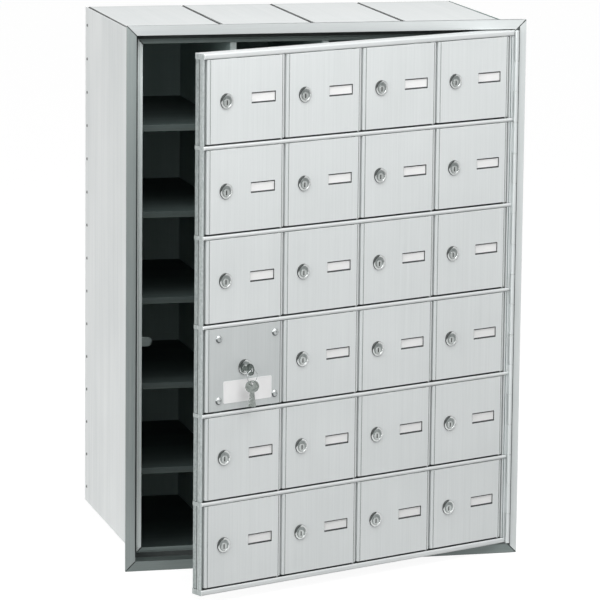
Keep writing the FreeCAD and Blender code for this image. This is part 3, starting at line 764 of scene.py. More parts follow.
@dataclass
class Turning:
    """A part that is turned about its axis and repeated on seats, as a node tree with named sizes."""

    name: str
    steps: int = 40

    def sizes(self) -> dict[str, float]:
        """Return the sizes that a part adds to these fields, named in words."""
        own = [item.name for item in fields(self) if item.name not in ("name", "steps")]
        return {name.replace("_", " ").title(): getattr(self, name) for name in own}

    def profile(self, size: dict[str, Sock]) -> Profile:
        """Return distances from the axis and heights, from the front of the axis to its back."""
        raise NotImplementedError

    def cutter(self, graph: Graph, size: dict[str, Sock]) -> Sock | None:
        """Return a solid to be taken away, if there is one."""
        return None

    def shape(self, graph: Graph, size: dict[str, Sock]) -> Sock:
        """Shape one part about the Z axis, with its front up.

        Args:
            graph: The part's nodes.
            size: The named sizes.

        Returns:
            The part's mesh.
        """
        profile = self.profile(size)
        count = float(len(profile))
        sheet = graph.add("GeometryNodeMeshGrid", {
            "Vertices X": self.steps + 1, "Vertices Y": len(profile)})
        index = graph.add("GeometryNodeInputIndex")["Index"]
        around = (index / count).math("FLOOR")
        along = index - around * count
        radius, height = (graph.choose(along, values) for values in zip(*profile))
        angle = around * (-2.0 * math.pi / self.steps)
        place = graph.add("ShaderNodeCombineXYZ", {
            "X": radius * angle.math("COSINE"), "Y": radius * angle.math("SINE"), "Z": height})
        rolled = graph.add("GeometryNodeSetPosition", {
            "Geometry": sheet["Mesh"], "Position": place["Vector"]})
        closed = graph.add("GeometryNodeMergeByDistance", {
            "Geometry": rolled["Geometry"], "Distance": WELD})["Geometry"]
        cutter = self.cutter(graph, size)
        if cutter is None:
            return closed
        cut = graph.add("GeometryNodeMeshBoolean", {"Mesh 1": closed, "Mesh 2": cutter},
                        operation="DIFFERENCE", solver="EXACT")
        return cut["Mesh"]

    def tree(self, finish: Finish) -> tuple[bpy.types.NodeTree, dict[str, str]]:
        """Build the node tree.

        Args:
            finish: The part's finish.

        Returns:
            The tree, and the identifier of each named size.
        """
        tree = bpy.data.node_groups.new(self.name, "GeometryNodeTree")
        graph = Graph(tree)
        tree.interface.new_socket("Seats", in_out="INPUT", socket_type="NodeSocketGeometry")
        tree.interface.new_socket("Parts", in_out="OUTPUT", socket_type="NodeSocketGeometry")
        identifiers = {}
        for label in self.sizes():
            socket = tree.interface.new_socket(label, in_out="INPUT", socket_type="NodeSocketFloat")
            identifiers[label] = socket.identifier
        given = graph.add("NodeGroupInput")
        part = self.shape(graph, {label: given[label] for label in identifiers})
        axis = graph.add("GeometryNodeInputNamedAttribute", {"Name": "axis"}, data_type="FLOAT_VECTOR")
        leaned = graph.add("FunctionNodeAlignRotationToVector", {"Vector": axis["Attribute"]}, axis="Z")
        upright = graph.add("FunctionNodeAlignRotationToVector", {
            "Rotation": leaned["Rotation"], "Vector": UP}, axis="Y", pivot_axis="Z")
        spread = graph.add("GeometryNodeInstanceOnPoints", {
            "Points": given["Seats"], "Instance": part, "Rotation": upright["Rotation"]})
        real = graph.add("GeometryNodeRealizeInstances", {"Geometry": spread["Instances"]})
        painted = graph.add("GeometryNodeSetMaterial", {
            "Geometry": real["Geometry"], "Material": material_of(finish)})
        graph.add("NodeGroupOutput", {"Parts": painted["Geometry"]})
        return tree, identifiers

    def meshed(self, places: Sequence[Place], finish: Finish) -> bpy.types.Mesh:
        """Set the part on its seats and turn the result into a plain mesh.

        Args:
            places: The seats.
            finish: The part's finish.

        Returns:
            The mesh.
        """
        tree, identifiers = self.tree(finish)
        seats = bpy.data.meshes.new(self.name)
        seats.from_pydata([place.point for place in places], [], [])
        axes = seats.attributes.new("axis", "FLOAT_VECTOR", "POINT")
        axes.data.foreach_set("vector", [value for place in places for value in place.axis])
        holder = linked(self.name, seats)
        modifier = holder.modifiers.new(self.name, "NODES")
        modifier.node_group = tree
        for label, value in self.sizes().items():
            modifier[identifiers[label]] = value
        mesh = plain_mesh(holder)
        bpy.data.objects.remove(holder)
        return mesh


@dataclass
class RivetHead(Turning):
    """A blind rivet: a domed head with the dimple of its drawn stem, and its shank."""

    head_radius: float = 0.0026
    head_height: float = 0.0010
    dimple_radius: float = 0.0008
    dimple_depth: float = 0.0005
    shank_radius: float = 0.0015
    shank_length: float = 0.0026
    steps: int = 20
    dome_angles: ClassVar[Sequence[float]] = (90.0, 65.0, 42.0, 20.0, 0.0)
    dimple_taper: ClassVar[float] = 0.8

    def profile(self, size: dict[str, Sock]) -> Profile:
        """Draw the dimple, the dome and the shank.

        Args:
            size: The named sizes.

        Returns:
            Pairs of distance from the axis and height.
        """
        rim = size["Dimple Radius"]
        height = size["Head Height"]
        floor = height - size["Dimple Depth"]
        dimple = [(0.0, floor), (rim * self.dimple_taper, floor)]
        head = dome(rim, size["Head Radius"], height, self.dome_angles)
        return dimple + head + stem(size["Shank Radius"], size["Shank Length"])


@dataclass
class PanelScrew(Turning):
    """A round-headed screw with a six-sided socket."""

    head_radius: float = 0.0060
    head_height: float = 0.0032
    socket_radius: float = 0.0020
    socket_depth: float = 0.0014
    shank_radius: float = 0.0025
    shank_length: float = 0.0095
    dome_angles: ClassVar[Sequence[float]] = (90.0, 75.0, 60.0, 45.0, 30.0, 16.0, 6.0, 0.0)
    socket_sides: ClassVar[int] = 6
    shade_rise: ClassVar[float] = 0.1
    shade_front: ClassVar[float] = 0.85

    def profile(self, size: dict[str, Sock]) -> Profile:
        """Return the dome and the shank."""
        head = dome(0.0, size["Head Radius"], size["Head Height"], self.dome_angles)
        return head + stem(size["Shank Radius"], size["Shank Length"])

    def cutter(self, graph: Graph, size: dict[str, Sock]) -> Sock:
        """Return the socket's bar, which lies half in the head."""
        bar = graph.bar(self.socket_sides, size["Socket Radius"], size["Socket Depth"] * 2.0)
        return graph.moved(bar, Z=size["Head Height"])

    def dress(self, centre: Vector, normal: Vector) -> Finish:
        """Return a face's finish, with painted shade round the lower side of the head."""
        shaded = normal.z < self.shade_rise and normal.dot(DOOR.front) < self.shade_front
        return SCREW_SHADE if shaded else SCREW_STEEL


@dataclass
class LockBody(Turning):
    """A lock's body: a bezel with a rolled rim and a dished face, and a barrel with a low bore."""

    bezel_radius: float = 0.0120
    bezel_height: float = 0.0025
    rim_radius: float = 0.0013
    dish_radius: float = 0.0090
    dish_depth: float = 0.0008
    fillet_radius: float = 0.0004
    barrel_radius: float = 0.0095
    barrel_length: float = 0.0230
    bore_radius: float = 0.00608
    bore_drop: float = 0.0024
    steps: int = 48
    bore_overrun: ClassVar[float] = 3.0
    tarnish_start: ClassVar[float] = 0.6
    tarnish_taper: ClassVar[float] = 0.33

    def profile(self, size: dict[str, Sock]) -> Profile:
        """Draw the dish, the rim and the barrel.

        Args:
            size: The named sizes.

        Returns:
            Pairs of distance from the axis and height.
        """
        height = size["Bezel Height"]
        floor = height - size["Dish Depth"]
        fillet = size["Fillet Radius"]
        rim = size["Rim Radius"]
        dish = size["Dish Radius"]
        bezel = size["Bezel Radius"]
        points = [(0.0, floor)]
        points += arc((dish - fillet, floor + fillet), fillet, -90.0, 0.0, steps=3)
        points += arc((dish + fillet, height - fillet), fillet, 180.0, 90.0, steps=3)
        points += arc((bezel - rim, height - rim), rim, 90.0, 0.0, steps=5)
        return points + [(bezel, 0.0)] + stem(size["Barrel Radius"], size["Barrel Length"])

    def cutter(self, graph: Graph, size: dict[str, Sock]) -> Sock:
        """Return the rod of the bore, which runs out at both ends."""
        rod = graph.bar(self.steps, size["Bore Radius"], size["Barrel Length"] * self.bore_overrun)
        return graph.moved(rod, Y=size["Bore Drop"] * -1.0)

    def dress(self, seat: Place) -> Dress:
        """Dress the body: a bright rim with a dark painted reflection up left, painted shade on its walls,
        a dull dish.

        Args:
            seat: The seat.

        Returns:
            The finish of each face.
        """
        shaded = (UP + seat.axis.cross(UP)).normalized()

        def finish(centre: Vector, normal: Vector) -> Finish:
            """Return the finish of a face by its distance from the axis and the way it looks."""
            way = centre - seat.point
            across = way - seat.axis * way.dot(seat.axis)
            radius = across.length
            turn = across.normalized().dot(shaded)
            inward = (self.bezel_radius - radius) / (self.bezel_radius - self.dish_radius)
            # A painted dark reflection in an arc at the upper left of the rim, widest at the outside.
            painted_reflection = inward < 1.0 and turn > self.tarnish_start + self.tarnish_taper * inward
            if normal.dot(seat.axis) < FACING or painted_reflection:
                return LOCK_PAINTED_DARK
            return DISH_METAL if radius < self.dish_radius - self.fillet_radius else CHROME

        return finish


def show_lock_body(name: str, body: str, barrel: Solid, front: float) -> None:
    """Show the detailed body of a lock in the place of its CAD solid.

    Args:
        name: The piece's name.
        body: The CAD body that it rides on.
        barrel: The CAD solid.
        front: Y of the closed door's face.
    """
    lock = LockBody("lock_body", barrel_length=barrel.box(True)[1].y - front)
    seat = seat_of(barrel, front)
    piece = Piece(name, body, "lock_chrome")
    piece.take_mesh(lock.meshed([seat], CHROME), lock.dress(seat))
    piece.done()


@dataclass
class SplitRing(Turning):
    """A key ring wound from two turns of wire."""

    ring_radius: float = 0.0100
    wire_radius: float = 0.00035
    turns: float = 2.0
    wire_sides: ClassVar[int] = 10

    def shape(self, graph: Graph, size: dict[str, Sock]) -> Sock:
        """Wind the wire about the Z axis.

        Args:
            graph: The part's nodes.
            size: The named sizes.

        Returns:
            The ring's mesh.
        """
        rise = size["Wire Radius"] * size["Turns"] * 2.0
        coil = graph.add("GeometryNodeCurveSpiral", {
            "Resolution": self.steps, "Rotations": size["Turns"], "Start Radius": size["Ring Radius"],
            "End Radius": size["Ring Radius"], "Height": rise})
        section = graph.add("GeometryNodeCurvePrimitiveCircle", {
            "Resolution": self.wire_sides, "Radius": size["Wire Radius"]})
        wire = graph.add("GeometryNodeCurveToMesh", {
            "Curve": coil["Curve"], "Profile Curve": section["Curve"], "Fill Caps": True})
        return graph.moved(wire["Mesh"], Z=rise * -0.5)


@dataclass
class TrimFrame:
    """The mitred frame on the wall and the strike plate behind its left lip."""

    node: str = "trim_frame_rails"
    edge: float = 0.0004
    plate_limit: float = 0.005
    lip_front: float = 0.02
    lip_shade: float = 0.024
    face_width: float = 0.016
    mitre_gap: float = 0.0012
    hinge_shade: float = 0.0052
    mitre_slant: float = 0.25

    def build(self) -> None:
        """Build and dress the frame."""
        piece = Piece("trim_frame", "cabinet", "frame_aluminium")
        hinge_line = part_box(self.node)[1].x - self.face_width + self.hinge_shade
        for rail in solids_of(self.node):
            piece.add(rail.bent(self.mitre_gap, self.at_mitre), self.dress(rail), self.edge, hinge_line)
        piece.done(self.node)

    def slanted(self, normal: Vector) -> bool:
        """Return whether a face is that of a mitre."""
        return min(abs(normal.x), abs(normal.z)) > self.mitre_slant

    def at_mitre(self, line: bmesh.types.BMEdge) -> bool:
        """Return whether an edge lies between a mitre and a face that looks forward."""
        ways = [face.normal for face in line.link_faces]
        return any(self.slanted(way) for way in ways) and any(way.y < -FACING for way in ways)

    def dress(self, rail: Solid) -> Dress:
        """Dress a rail: dark at its mitres, painted shade behind its face, on its outer edge and by the
        hinge.

        Args:
            rail: A rail, or the strike plate.

        Returns:
            The finish, or the finish of each face.
        """
        size = rail.size(False)
        low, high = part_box(self.node)
        outward = rail.middle(False) - (low + high) / 2
        outward.y = 0.0
        outward.normalize()
        outer = max(low.dot(outward), high.dot(outward))
        # The strike plate: painted shade all over.
        if size.y < self.plate_limit:
            return TRIM_SHADE
        if size.z > size.x:
            face, lip = (TRIM_LEFT, STOP_LIP_LIT) if outward.x < 0.0 else (TRIM_RIGHT, STOP_LIP_SHADE)
        else:
            face, lip = (TRIM_SHADE if outward.z < 0.0 else TRIM_TOP), STOP_LIP_SHADE

        def finish(centre: Vector, normal: Vector) -> Finish:
            """Return the finish of a face by the way it looks and its distance from the outer edge."""
            inset = outer - centre.dot(outward)
            # Painted shade in the corner between the face and the lip, up to the lip's groove.
            in_corner = centre.y > self.lip_front and inset < self.lip_shade
            if self.slanted(normal) or in_corner:
                return JOINT_SHADE
            # Painted shade on the outer edge.
            if normal.dot(outward) > FACING:
                return TRIM_SHADE
            # Painted shadow of the hinge barrel: a dark strip on the right rail's face along the hinge.
            if outward.x > LEANING and inset > self.face_width - self.hinge_shade:
                return JOINT_SHADE
            return face if centre.y < self.edge else lip

        return finish


@dataclass
class CabinetShell:
    """The sheets round the compartments and the rivets along their rear edges."""

    nodes: tuple[str, ...] = ("side_panels", "roof_floor_and_back_sheets")
    rivets: str = "cabinet_rivets"
    edge: float = 0.00025
    pan_limit: float = 0.05
    pan_bend: float = 0.0042
    seam_slant: float = 0.15

    def build(self) -> None:
        """Build and dress the shell and its rivets."""
        piece = Piece("cabinet_shell", "cabinet", "cabinet_sheet")
        low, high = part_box("side_panels")
        middle = (low + high) / 2

        def finish(centre: Vector, normal: Vector) -> Finish:
            """Return the finish of a face: painted shade on one that looks into the cabinet, darkest
            looking up.
            """
            if normal.dot(middle - centre) > 0.0:
                return SHELF_SHEET if normal.z > FACING else INNER_SHEET
            return ROOF_SHEET if normal.z > FACING else SIDE_SHEET

        def roof_finish(centre: Vector, normal: Vector) -> Finish:
            """Return the finish of a roof pan's face, with painted shade in the seams."""
            return DEEP_SHADE if abs(normal.x) > self.seam_slant else finish(centre, normal)

        for node in self.nodes:
            for sheet in solids_of(node):
                if sheet.box()[0].z > middle.z and sheet.size(False).x > self.pan_limit:
                    piece.add(self.rounded_pan(sheet), roof_finish, self.edge)
                else:
                    piece.add(sheet, finish, self.edge)
        piece.done(*self.nodes)
        places = []
        for rivet in solids_of(self.rivets):
            centre = rivet.middle(False)
            centre.x = high.x if centre.x > 0.0 else low.x
            places.append(Place(centre, Vector((math.copysign(1.0, centre.x), 0.0, 0.0))))
        heads = Piece("side_rivets", "cabinet", "rivet_steel")
        heads.take_mesh(RivetHead("rivet").meshed(places, RIVET_STEEL), RIVET_STEEL)
        heads.done(self.rivets)

    def rounded_pan(self, pan: Solid) -> Solid:
        """Round the bends along a roof pan's seams.

        Args:
            pan: The pan.

        Returns:
            The new pan.
        """
        low, high = pan.box()

        def chosen(line: bmesh.types.BMEdge) -> bool:
            """Return whether an edge runs inward along the outer top of a side of the pan."""
            first, last = (point.co for point in line.verts)
            beside = min(first.x - low.x, high.x - first.x) < self.edge
            inward = abs(first.x - last.x) < self.edge
            return beside and inward and min(first.z, last.z) > high.z - self.edge

        return pan.bent(self.pan_bend, chosen)


@dataclass
class Compartments:
    """The partitions and shelves."""

    partitions: str = "column_partitions"
    shelves: str = "shelves"
    edge: float = 0.00025
    front_reach: float = 0.002

    def build(self) -> None:
        """Build and dress the partitions and the shelves."""
        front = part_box(self.partitions)[0].y + self.front_reach

        def partition(centre: Vector, normal: Vector) -> Finish:
            """Return a partition face's finish: painted shade, with painted light on the front edge."""
            return PARTITION_EDGE if centre.y < front and normal.y < -LEANING else INNER_SHEET

        def shelf(centre: Vector, normal: Vector) -> Finish:
            """Return a shelf face's finish: a darker painted shade, a little lighter on the lip where light
            falls.
            """
            return LIP_SHEET if normal.y < -LEANING else SHELF_SHEET

        piece = Piece("compartment_partitions", "cabinet", "compartment_sheet")
        piece.stand_for(self.partitions, lambda sheet: partition, self.edge)
        piece = Piece("compartment_shelves", "cabinet", "compartment_sheet")
        piece.stand_for(self.shelves, lambda sheet: shelf, self.edge)


@dataclass
class MasterDoorFrame:
    """The rails and uprights of the master door, its hinge and the pins of the small doors.

    The left stile's groove is measured from its side, and its channel and strip along the closed door's Y.
    """

    rails: str = "door_rails"
    uprights: str = "door_uprights"
    edge: float = 0.0004
    fine_edge: float = 0.00025
    side_reach: float = 0.01
    bead_sink: float = 0.0004
    groove_inset: float = 0.0014
    channel_depth: float = 0.004
    strip_front: float = 0.0105
    level: float = 0.9

    def build(self) -> None:
        """Build and dress the frame, the hinge and the pins."""
        piece = Piece("door_rails_visual", "master_door", "door_rail_aluminium")
        piece.stand_for(self.rails, self.rail_dress, self.edge)
        lengths = solids_of(self.uprights)
        left = min(length.box(True)[0].x for length in lengths)
        right = max(length.box(True)[1].x for length in lengths)
        piece = Piece("door_stiles_visual", "master_door", "door_rail_aluminium")
        piece.stand_for(self.uprights, lambda length: self.upright_dress(length, left, right), self.edge)
        for name, node, body in (
            ("small_hinge_pins", "tenant_hinge_pins", "master_door"),
            ("hinge_fixed_leaf", "main_hinge_fixed_leaf", "cabinet"),
            ("hinge_door_leaf", "main_hinge_door_leaf", "master_door"),
        ):
            piece = Piece(name + "_visual", body, "hinge_steel")
            piece.stand_for(node, lambda solid: HINGE_METAL, self.fine_edge)

    def rail_dress(self, rail: Solid) -> Dress:
        """Dress a rail: mottled on its free end, with painted shade on top, in the gap under a row of
        doors.

        Args:
            rail: The rail.

        Returns:
            The finish of each face.
        """
        topmost = rail.box()[1].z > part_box(self.rails)[1].z - self.edge

        def finish(centre: Vector, normal: Vector) -> Finish:
            """Return the finish of a face by the way it looks."""
            if DOOR.closed(centre, normal)[1].x < -FACING:
                return STILE_MOULDING
            # Painted shadow of the row of doors above, on every rail's top but the highest.
            return DEEP_SHADE if normal.z > self.level and not topmost else RAIL_METAL

        return finish

    def upright_dress(self, length: Solid, left: float, right: float) -> Dress:
        """Dress a length of stile or mullion; a mullion is dark all over, a painted shade.

        Args:
            length: The length.
            left: X of the closed door's left side.
            right: X of its right side.

        Returns:
            The finish, or the finish of each face.
        """
        low, high = length.box(True)

        def left_finish(centre: Vector, normal: Vector) -> Finish:
            """Return a face's finish: a mottled strip, a groove and a channel in painted shade, and a
            bright moulding.
            """
            place, way = DOOR.closed(centre, normal)
            if way.y < -FACING and place.y > low.y + self.edge:
                return CHANNEL_SHADE if place.y < self.channel_depth else JOINT_SHADE
            if way.x < -FACING and place.x > left + self.groove_inset:
                return JOINT_SHADE
            return STILE_METAL if place.y > self.strip_front else STILE_MOULDING

        def right_finish(centre: Vector, normal: Vector) -> Finish:
            """Return a face's finish: two bright strips with painted shade in the shallow groove between
            them.
            """
            place, way = DOOR.closed(centre, normal)
            return STILE_CHANNEL if way.y < -FACING and place.y > low.y + self.bead_sink else STILE_BEAD

        if low.x < left + self.side_reach:
            return left_finish
        return right_finish if high.x > right - self.side_reach else MULLION_SHADE


@dataclass(frozen=True)
class FaceDress:
    """The finishes of a door face: beads along its sides, painted shade in the groove beside each and on
    cut walls.
    """

    flat: Finish
    bead: Finish
    bead_reach: float = 0.0046
    groove_reach: float = 0.0066
    groove_slant: float = 0.3
    cut_margin: float = 0.010
    cut_level: float = 0.95
    forward: float = 0.1

    def of(self, leaf: Solid) -> Dress:
        """Dress a leaf.

        Args:
            leaf: The leaf.

        Returns:
            The finish of each face.
        """
        low, high = leaf.box(True)

        def finish(centre: Vector, normal: Vector) -> Finish:
            """Return the finish of a face by its distance from the leaf's edges and the way it looks."""
            place, way = DOOR.closed(centre, normal)
            inset = min(place.x - low.x, high.x - place.x)
            rise = min(place.z - low.z, high.z - place.z)
            # Painted shade on the walls of the card window and the lock hole.
            if min(inset, rise) > self.cut_margin and abs(way.y) < self.cut_level:
                return DEEP_SHADE
            if way.y > -self.forward:
                return self.flat
            if inset < self.bead_reach:
                return self.bead
            # Painted shade in the groove beside each bead.
            in_groove = inset < self.groove_reach and abs(way.x) > self.groove_slant
            return GROOVE_SHADE if in_groove else self.flat

        return finish


@dataclass(frozen=True)
class LockCore:
    """The turning pieces of a lock: a plug with painted shade in its keyway, a cam and a cam screw."""

    edge: float = 0.00015
    keyway_half: float = 0.0013
    keyway_front: float = 0.0004

    def add_to(self, piece: Piece, solids: Sequence[Solid]) -> None:
        """Add the pieces.

        Args:
            piece: The piece that takes them.
            solids: The three solids, in any order.
        """
        cam = max(solids, key=lambda solid: solid.size().z)
        plug = max(solids, key=lambda solid: solid.size().y)
        axis = plug.middle()
        mouth = plug.box(True)[0].y + self.keyway_front

        def finish(centre: Vector, normal: Vector) -> Finish:
            """Return the plug's finish, or the shade inside its keyway."""
            place, way = DOOR.closed(centre, normal)
            inside = abs(place.x - axis.x) < self.keyway_half and place.y > mouth and way.y < LEANING
            return DEEP_SHADE if inside else PLUG_METAL

        for solid in solids:
            dress = finish if solid is plug else CAM_STEEL if solid is cam else SCREW_STEEL
            piece.add(solid, dress, self.edge)


@dataclass
class SmallDoor:
    """One small door with its lock, name card and card holder."""

    row: int
    column: int
    edge: float = 0.00035
    fine_edge: float = 0.00015
    card_edge: float = 0.00005

    def build(self) -> None:
        """Build and dress the door, the lock's body and the lock's turning pieces."""
        place = f"r{self.row}c{self.column}"
        node = "tenant_door_" + place
        core_node = "tenant_lock_" + place
        solids = solids_of(node)
        leaf = max(solids, key=lambda solid: solid.size().x)
        barrel = max(solids, key=lambda solid: solid.size().y if solid is not leaf else 0.0)
        rest = [solid for solid in solids if solid not in (leaf, barrel)]
        card = min(rest, key=lambda solid: solid.size().y)
        holder = max(rest, key=lambda solid: solid.size().x)
        nut = next(solid for solid in rest if solid not in (card, holder))
        piece = Piece("small_door_" + place, "door_" + place, "door_face_aluminium")
        piece.add(leaf, FaceDress(DOOR_FACE, DOOR_BEAD).of(leaf), self.edge)
        piece.add(nut, CAM_STEEL, self.fine_edge)
        piece.add(card, CARD_PAPER, self.card_edge)
        piece.add(holder, CARD_FRAME, self.fine_edge)
        piece.done(node)
        show_lock_body("lock_body_" + place, "door_" + place, barrel, leaf.box(True)[0].y)
        core = Piece("lock_core_" + place, "lock_" + place, "lock_chrome")
        LockCore().add_to(core, solids_of(core_node))
        core.done(core_node)


@dataclass(frozen=True)
class KeyDress:
    """The finishes of a key: bright on its flat sides and dark on its cut edges."""

    flat_limit: float = 0.8

    def of(self, key: Solid) -> Dress:
        """Return the finish of each face, by how far it looks across the key's plane."""
        flat = Vector(np.linalg.svd(key.points - key.points.mean(0), full_matrices=False)[2][-1])
        return lambda centre, normal: KEY_NICKEL if abs(normal.dot(flat)) > self.flat_limit else KEY_EDGE


@dataclass
class LockPanel:
    """The fixed panel with the master lock, its screws, its bars and a blank label."""

    node: str = "lock_panel_set"
    core_node: str = "master_lock_core"
    edge: float = 0.00035
    fine_edge: float = 0.00015
    bar_limit: float = 0.1
    nut_limit: float = 0.02
    label_corner: float = 0.0025
    label_border: float = 0.0022
    label_relief: float = 0.00015
    corner_runs: int = 6

    def build(self) -> None:
        """Build and dress the panel, its fastenings, its label and its lock."""
        solids = solids_of(self.node)
        panel = max(solids, key=lambda solid: solid.size().x)
        barrel = max(solids, key=lambda solid: solid.size().y)
        label = min(solids, key=lambda solid: solid.size().y)
        front = panel.box(True)[0].y
        piece = Piece("lock_panel", "master_door", "lock_panel_aluminium")
        piece.add(panel, FaceDress(PANEL_FACE, DOOR_BEAD).of(panel), self.edge)
        screws = []
        for solid in solids:
            height = solid.size().z
            if solid in (panel, barrel, label):
                continue
            if height > self.bar_limit:
                # The bars take the same dark painted-shade colour as the mullions.
                piece.add(solid, MULLION_SHADE, self.edge)
            elif height > self.nut_limit:
                piece.add(solid, CAM_STEEL, self.fine_edge)
            else:
                screws.append(seat_of(solid, front))
        piece.done(self.node)
        heads = Piece("panel_screws", "master_door", "lock_chrome")
        screw = PanelScrew("panel_screw")
        heads.take_mesh(screw.meshed(screws, SCREW_STEEL), screw.dress)
        heads.done()
        show_lock_body("master_lock_body", "master_door", barrel, front)
        self.build_label(label)
        core = Piece("master_lock_core_visual", "master_lock", "key_steel")
        turning = solids_of(self.core_node)
        key = min(turning, key=lambda solid: solid.box(True)[0].y)
        LockCore().add_to(core, [solid for solid in turning if solid is not key])
        core.add(key, KeyDress().of(key), self.fine_edge)
        core.done(self.core_node)

    def build_label(self, label: Solid) -> None:
        """Build the blank label: a plate with round corners and a raised border.

        Args:
            label: The CAD solid.
        """
        low, high = label.box(True)
        radius = self.label_corner
        left, right = low.x + radius, high.x - radius
        bottom, top = low.z + radius, high.z - radius
        part = bmesh.new()
        points = []
        for quarter, (x, z) in enumerate(((right, top), (left, top), (left, bottom), (right, bottom))):
            for step in range(self.corner_runs + 1):
                turn = math.radians(90.0 * (quarter + step / self.corner_runs))
                place = (x + radius * math.cos(turn), high.y, z + radius * math.sin(turn))
                points.append(part.verts.new(place))
        back = part.faces.new(points)
        grown = bmesh.ops.extrude_face_region(part, geom=[back])["geom"]
        front_points = [item for item in grown if isinstance(item, bmesh.types.BMVert)]
        bmesh.ops.translate(part, verts=front_points, vec=Vector((0.0, low.y - high.y, 0.0)))
        front = next(item for item in grown if isinstance(item, bmesh.types.BMFace))
        bmesh.ops.inset_region(part, faces=[front], thickness=self.label_border)
        bmesh.ops.inset_region(part, faces=[front], thickness=self.label_relief, depth=-self.label_relief)
        bmesh.ops.recalc_face_normals(part, faces=part.faces)
        part.transform(DOOR.matrix)
        piece = Piece("panel_label", "master_door", "lock_panel_aluminium")
        for face in part.faces:
            piece.paint(face, LABEL_PAINT)
        piece.take(part)
        piece.done()


@dataclass
class KeyRing:
    """The ring in the master key and the two keys that hang on it."""

    node: str = "hanging_keys"
    edge: float = 0.0002

    def build(self) -> None:
        """Build and dress the ring and its keys."""
        solids = solids_of(self.node)
        ring = min(solids, key=lambda solid: solid.size().y)
        piece = Piece("key_ring_and_keys", "key_ring", "key_steel")
        width, depth = ring.size().xy
        wound = SplitRing("split_ring", ring_radius=width / 2 - depth / 2, wire_radius=depth / 4)
        seat = seat_of(ring, ring.middle().y)
        piece.take_mesh(wound.meshed([seat], SCREW_STEEL), SCREW_STEEL)
        for solid in solids:
            if solid is not ring:
                piece.add(solid, KeyDress().of(solid), self.edge)
        piece.done(self.node)


def aim(shown: bpy.types.Object, turn: Quaternion) -> None:
    """Turn a lamp or the camera."""
    shown.rotation_mode = "QUATERNION"
    shown.rotation_quaternion = turn


@dataclass(frozen=True)
class Lamp:
    """A wide, far lamp: the way to it from the object, its strength and the degrees that it fills."""

    name: str
    way: Triple
    strength: float
    spread: float

    def hang(self) -> None:
        """Hang the lamp."""
        data = bpy.data.lights.new(self.name, "SUN")
        data.energy = self.strength
        data.angle = math.radians(self.spread)
        aim(linked(self.name, data), Vector(self.way).to_track_quat("Z", "Y"))


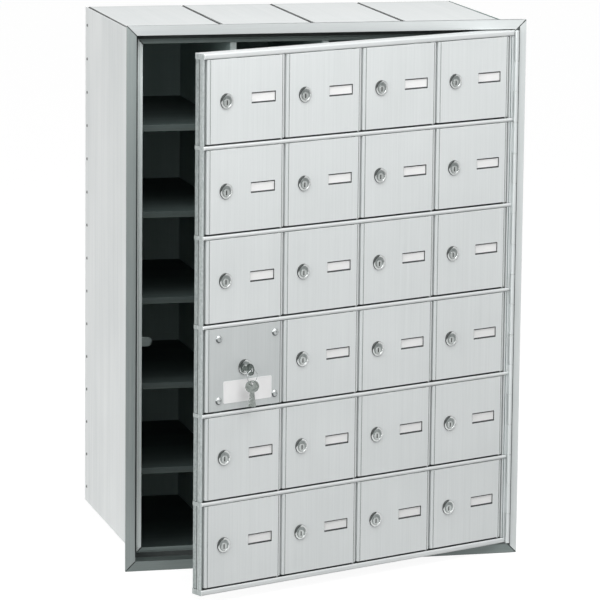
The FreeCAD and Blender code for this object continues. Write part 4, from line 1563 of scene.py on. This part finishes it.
@dataclass
class Studio:
    """A pale floor, soft light and the camera."""

    azimuth: float = -14.4
    elevation: float = 10.05
    roll: float = 0.6
    distance: float = 6.689
    lens: float = 244.7
    sensor: float = 36.0
    far_limit: float = 200.0
    target: Triple = (-0.017, 0.1, 0.4175)
    floor_half: float = 60.0
    floor_drop: float = 0.0005
    floor_white: float = 0.24
    floor_glow: float = 0.91
    sky_light: float = 0.18
    box_place: Triple = (0.2, -1.35, 2.3)
    box_size: float = 2.2
    box_power: float = 59.0
    lamps: tuple[Lamp, ...] = (
        Lamp("side_light", (-1.0, -0.6, 0.25), 1.75, 40.0),
        Lamp("fill_light", (1.2, -1.0, 0.6), 0.15, 60.0),
        Lamp("front_light", (-0.35, -1.0, 0.2), 0.2, 30.0),
    )

    def build(self) -> None:
        """Set up the floor, the world, the lamps and the camera."""
        bpy.context.scene.view_settings.view_transform = "Standard"
        self.lay_floor()
        self.light_world()
        self.hang_softbox()
        for lamp in self.lamps:
            lamp.hang()
        self.set_camera()

    def seen(self, graph: Graph) -> Sock:
        """Tell the rays that show the background from those that light the object.

        Args:
            graph: The nodes of the floor or the world.

        Returns:
            1 for the first kind and 0 for the second.
        """
        path = graph.add("ShaderNodeLightPath")
        shown = path["Is Camera Ray"].math("MAXIMUM", path["Is Glossy Ray"])
        return shown.math("MAXIMUM", path["Is Transmission Ray"])

    def lay_floor(self) -> None:
        """Lay the floor, which keeps the object's shadow."""
        half = self.floor_half
        mesh = bpy.data.meshes.new("floor")
        corners = [(-half, -half), (half, -half), (half, half), (-half, half)]
        mesh.from_pydata([(x, y, -self.floor_drop) for x, y in corners], [], [(0, 1, 2, 3)])
        material = bpy.data.materials.new("pale_floor")
        graph = blank_graph(material)
        white = (self.floor_white,) * 3
        matt = graph.add("ShaderNodeBsdfDiffuse", {"Color": (*white, 1.0)})
        glow = graph.add("ShaderNodeEmission", {"Strength": self.seen(graph) * self.floor_glow})
        both = graph.add("ShaderNodeAddShader", {0: matt["BSDF"], 1: glow["Emission"]})
        graph.add("ShaderNodeOutputMaterial", {"Surface": both[0]})
        mesh.materials.append(material)
        floor = linked("floor", mesh)

    def light_world(self) -> None:
        """Make the world white to the eye and an even soft light to the object."""
        world = bpy.data.worlds.new("soft_white")
        graph = blank_graph(world)
        strength = self.seen(graph) * (1.0 - self.sky_light) + self.sky_light
        sky = graph.add("ShaderNodeBackground", {"Color": WHITE, "Strength": strength})
        graph.add("ShaderNodeOutputWorld", {"Surface": sky["Background"]})
        bpy.context.scene.world = world

    def hang_softbox(self) -> None:
        """Hang the square softbox above the front, aimed at the object."""
        data = bpy.data.lights.new("softbox", "AREA")
        data.energy = self.box_power
        data.size = self.box_size
        lamp = linked("softbox", data)
        lamp.location = self.box_place
        aim(lamp, (Vector(self.box_place) - Vector(self.target)).to_track_quat("Z", "Y"))

    def set_camera(self) -> None:
        """Set the camera at the photograph's viewing angle."""
        turn = math.radians(self.azimuth)
        rise = math.radians(self.elevation)
        back = Vector((math.sin(turn) * math.cos(rise), -math.cos(turn) * math.cos(rise), math.sin(rise)))
        data = bpy.data.cameras.new("camera")
        data.sensor_width = self.sensor
        data.lens = self.lens
        data.clip_end = self.far_limit
        camera = linked("camera", data)
        camera.location = Vector(self.target) + back * self.distance
        level = (-back).to_track_quat("-Z", "Y")
        aim(camera, level @ Quaternion(UP, math.radians(self.roll)))
        bpy.context.scene.camera = camera


def main() -> None:
    """Build every sub-assembly in order."""
    logging.basicConfig(level=logging.INFO, format="%(name)s: %(message)s")
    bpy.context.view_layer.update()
    TrimFrame().build()
    CabinetShell().build()
    Compartments().build()
    MasterDoorFrame().build()
    places = sorted(body.removeprefix("door_r") for body in frame["bodies"] if body.startswith("door_r"))
    for place in places:
        row, column = place.split("c")
        SmallDoor(int(row), int(column)).build()
    LockPanel().build()
    KeyRing().build()
    Studio().build()


if __name__ == "__main__":
    main()
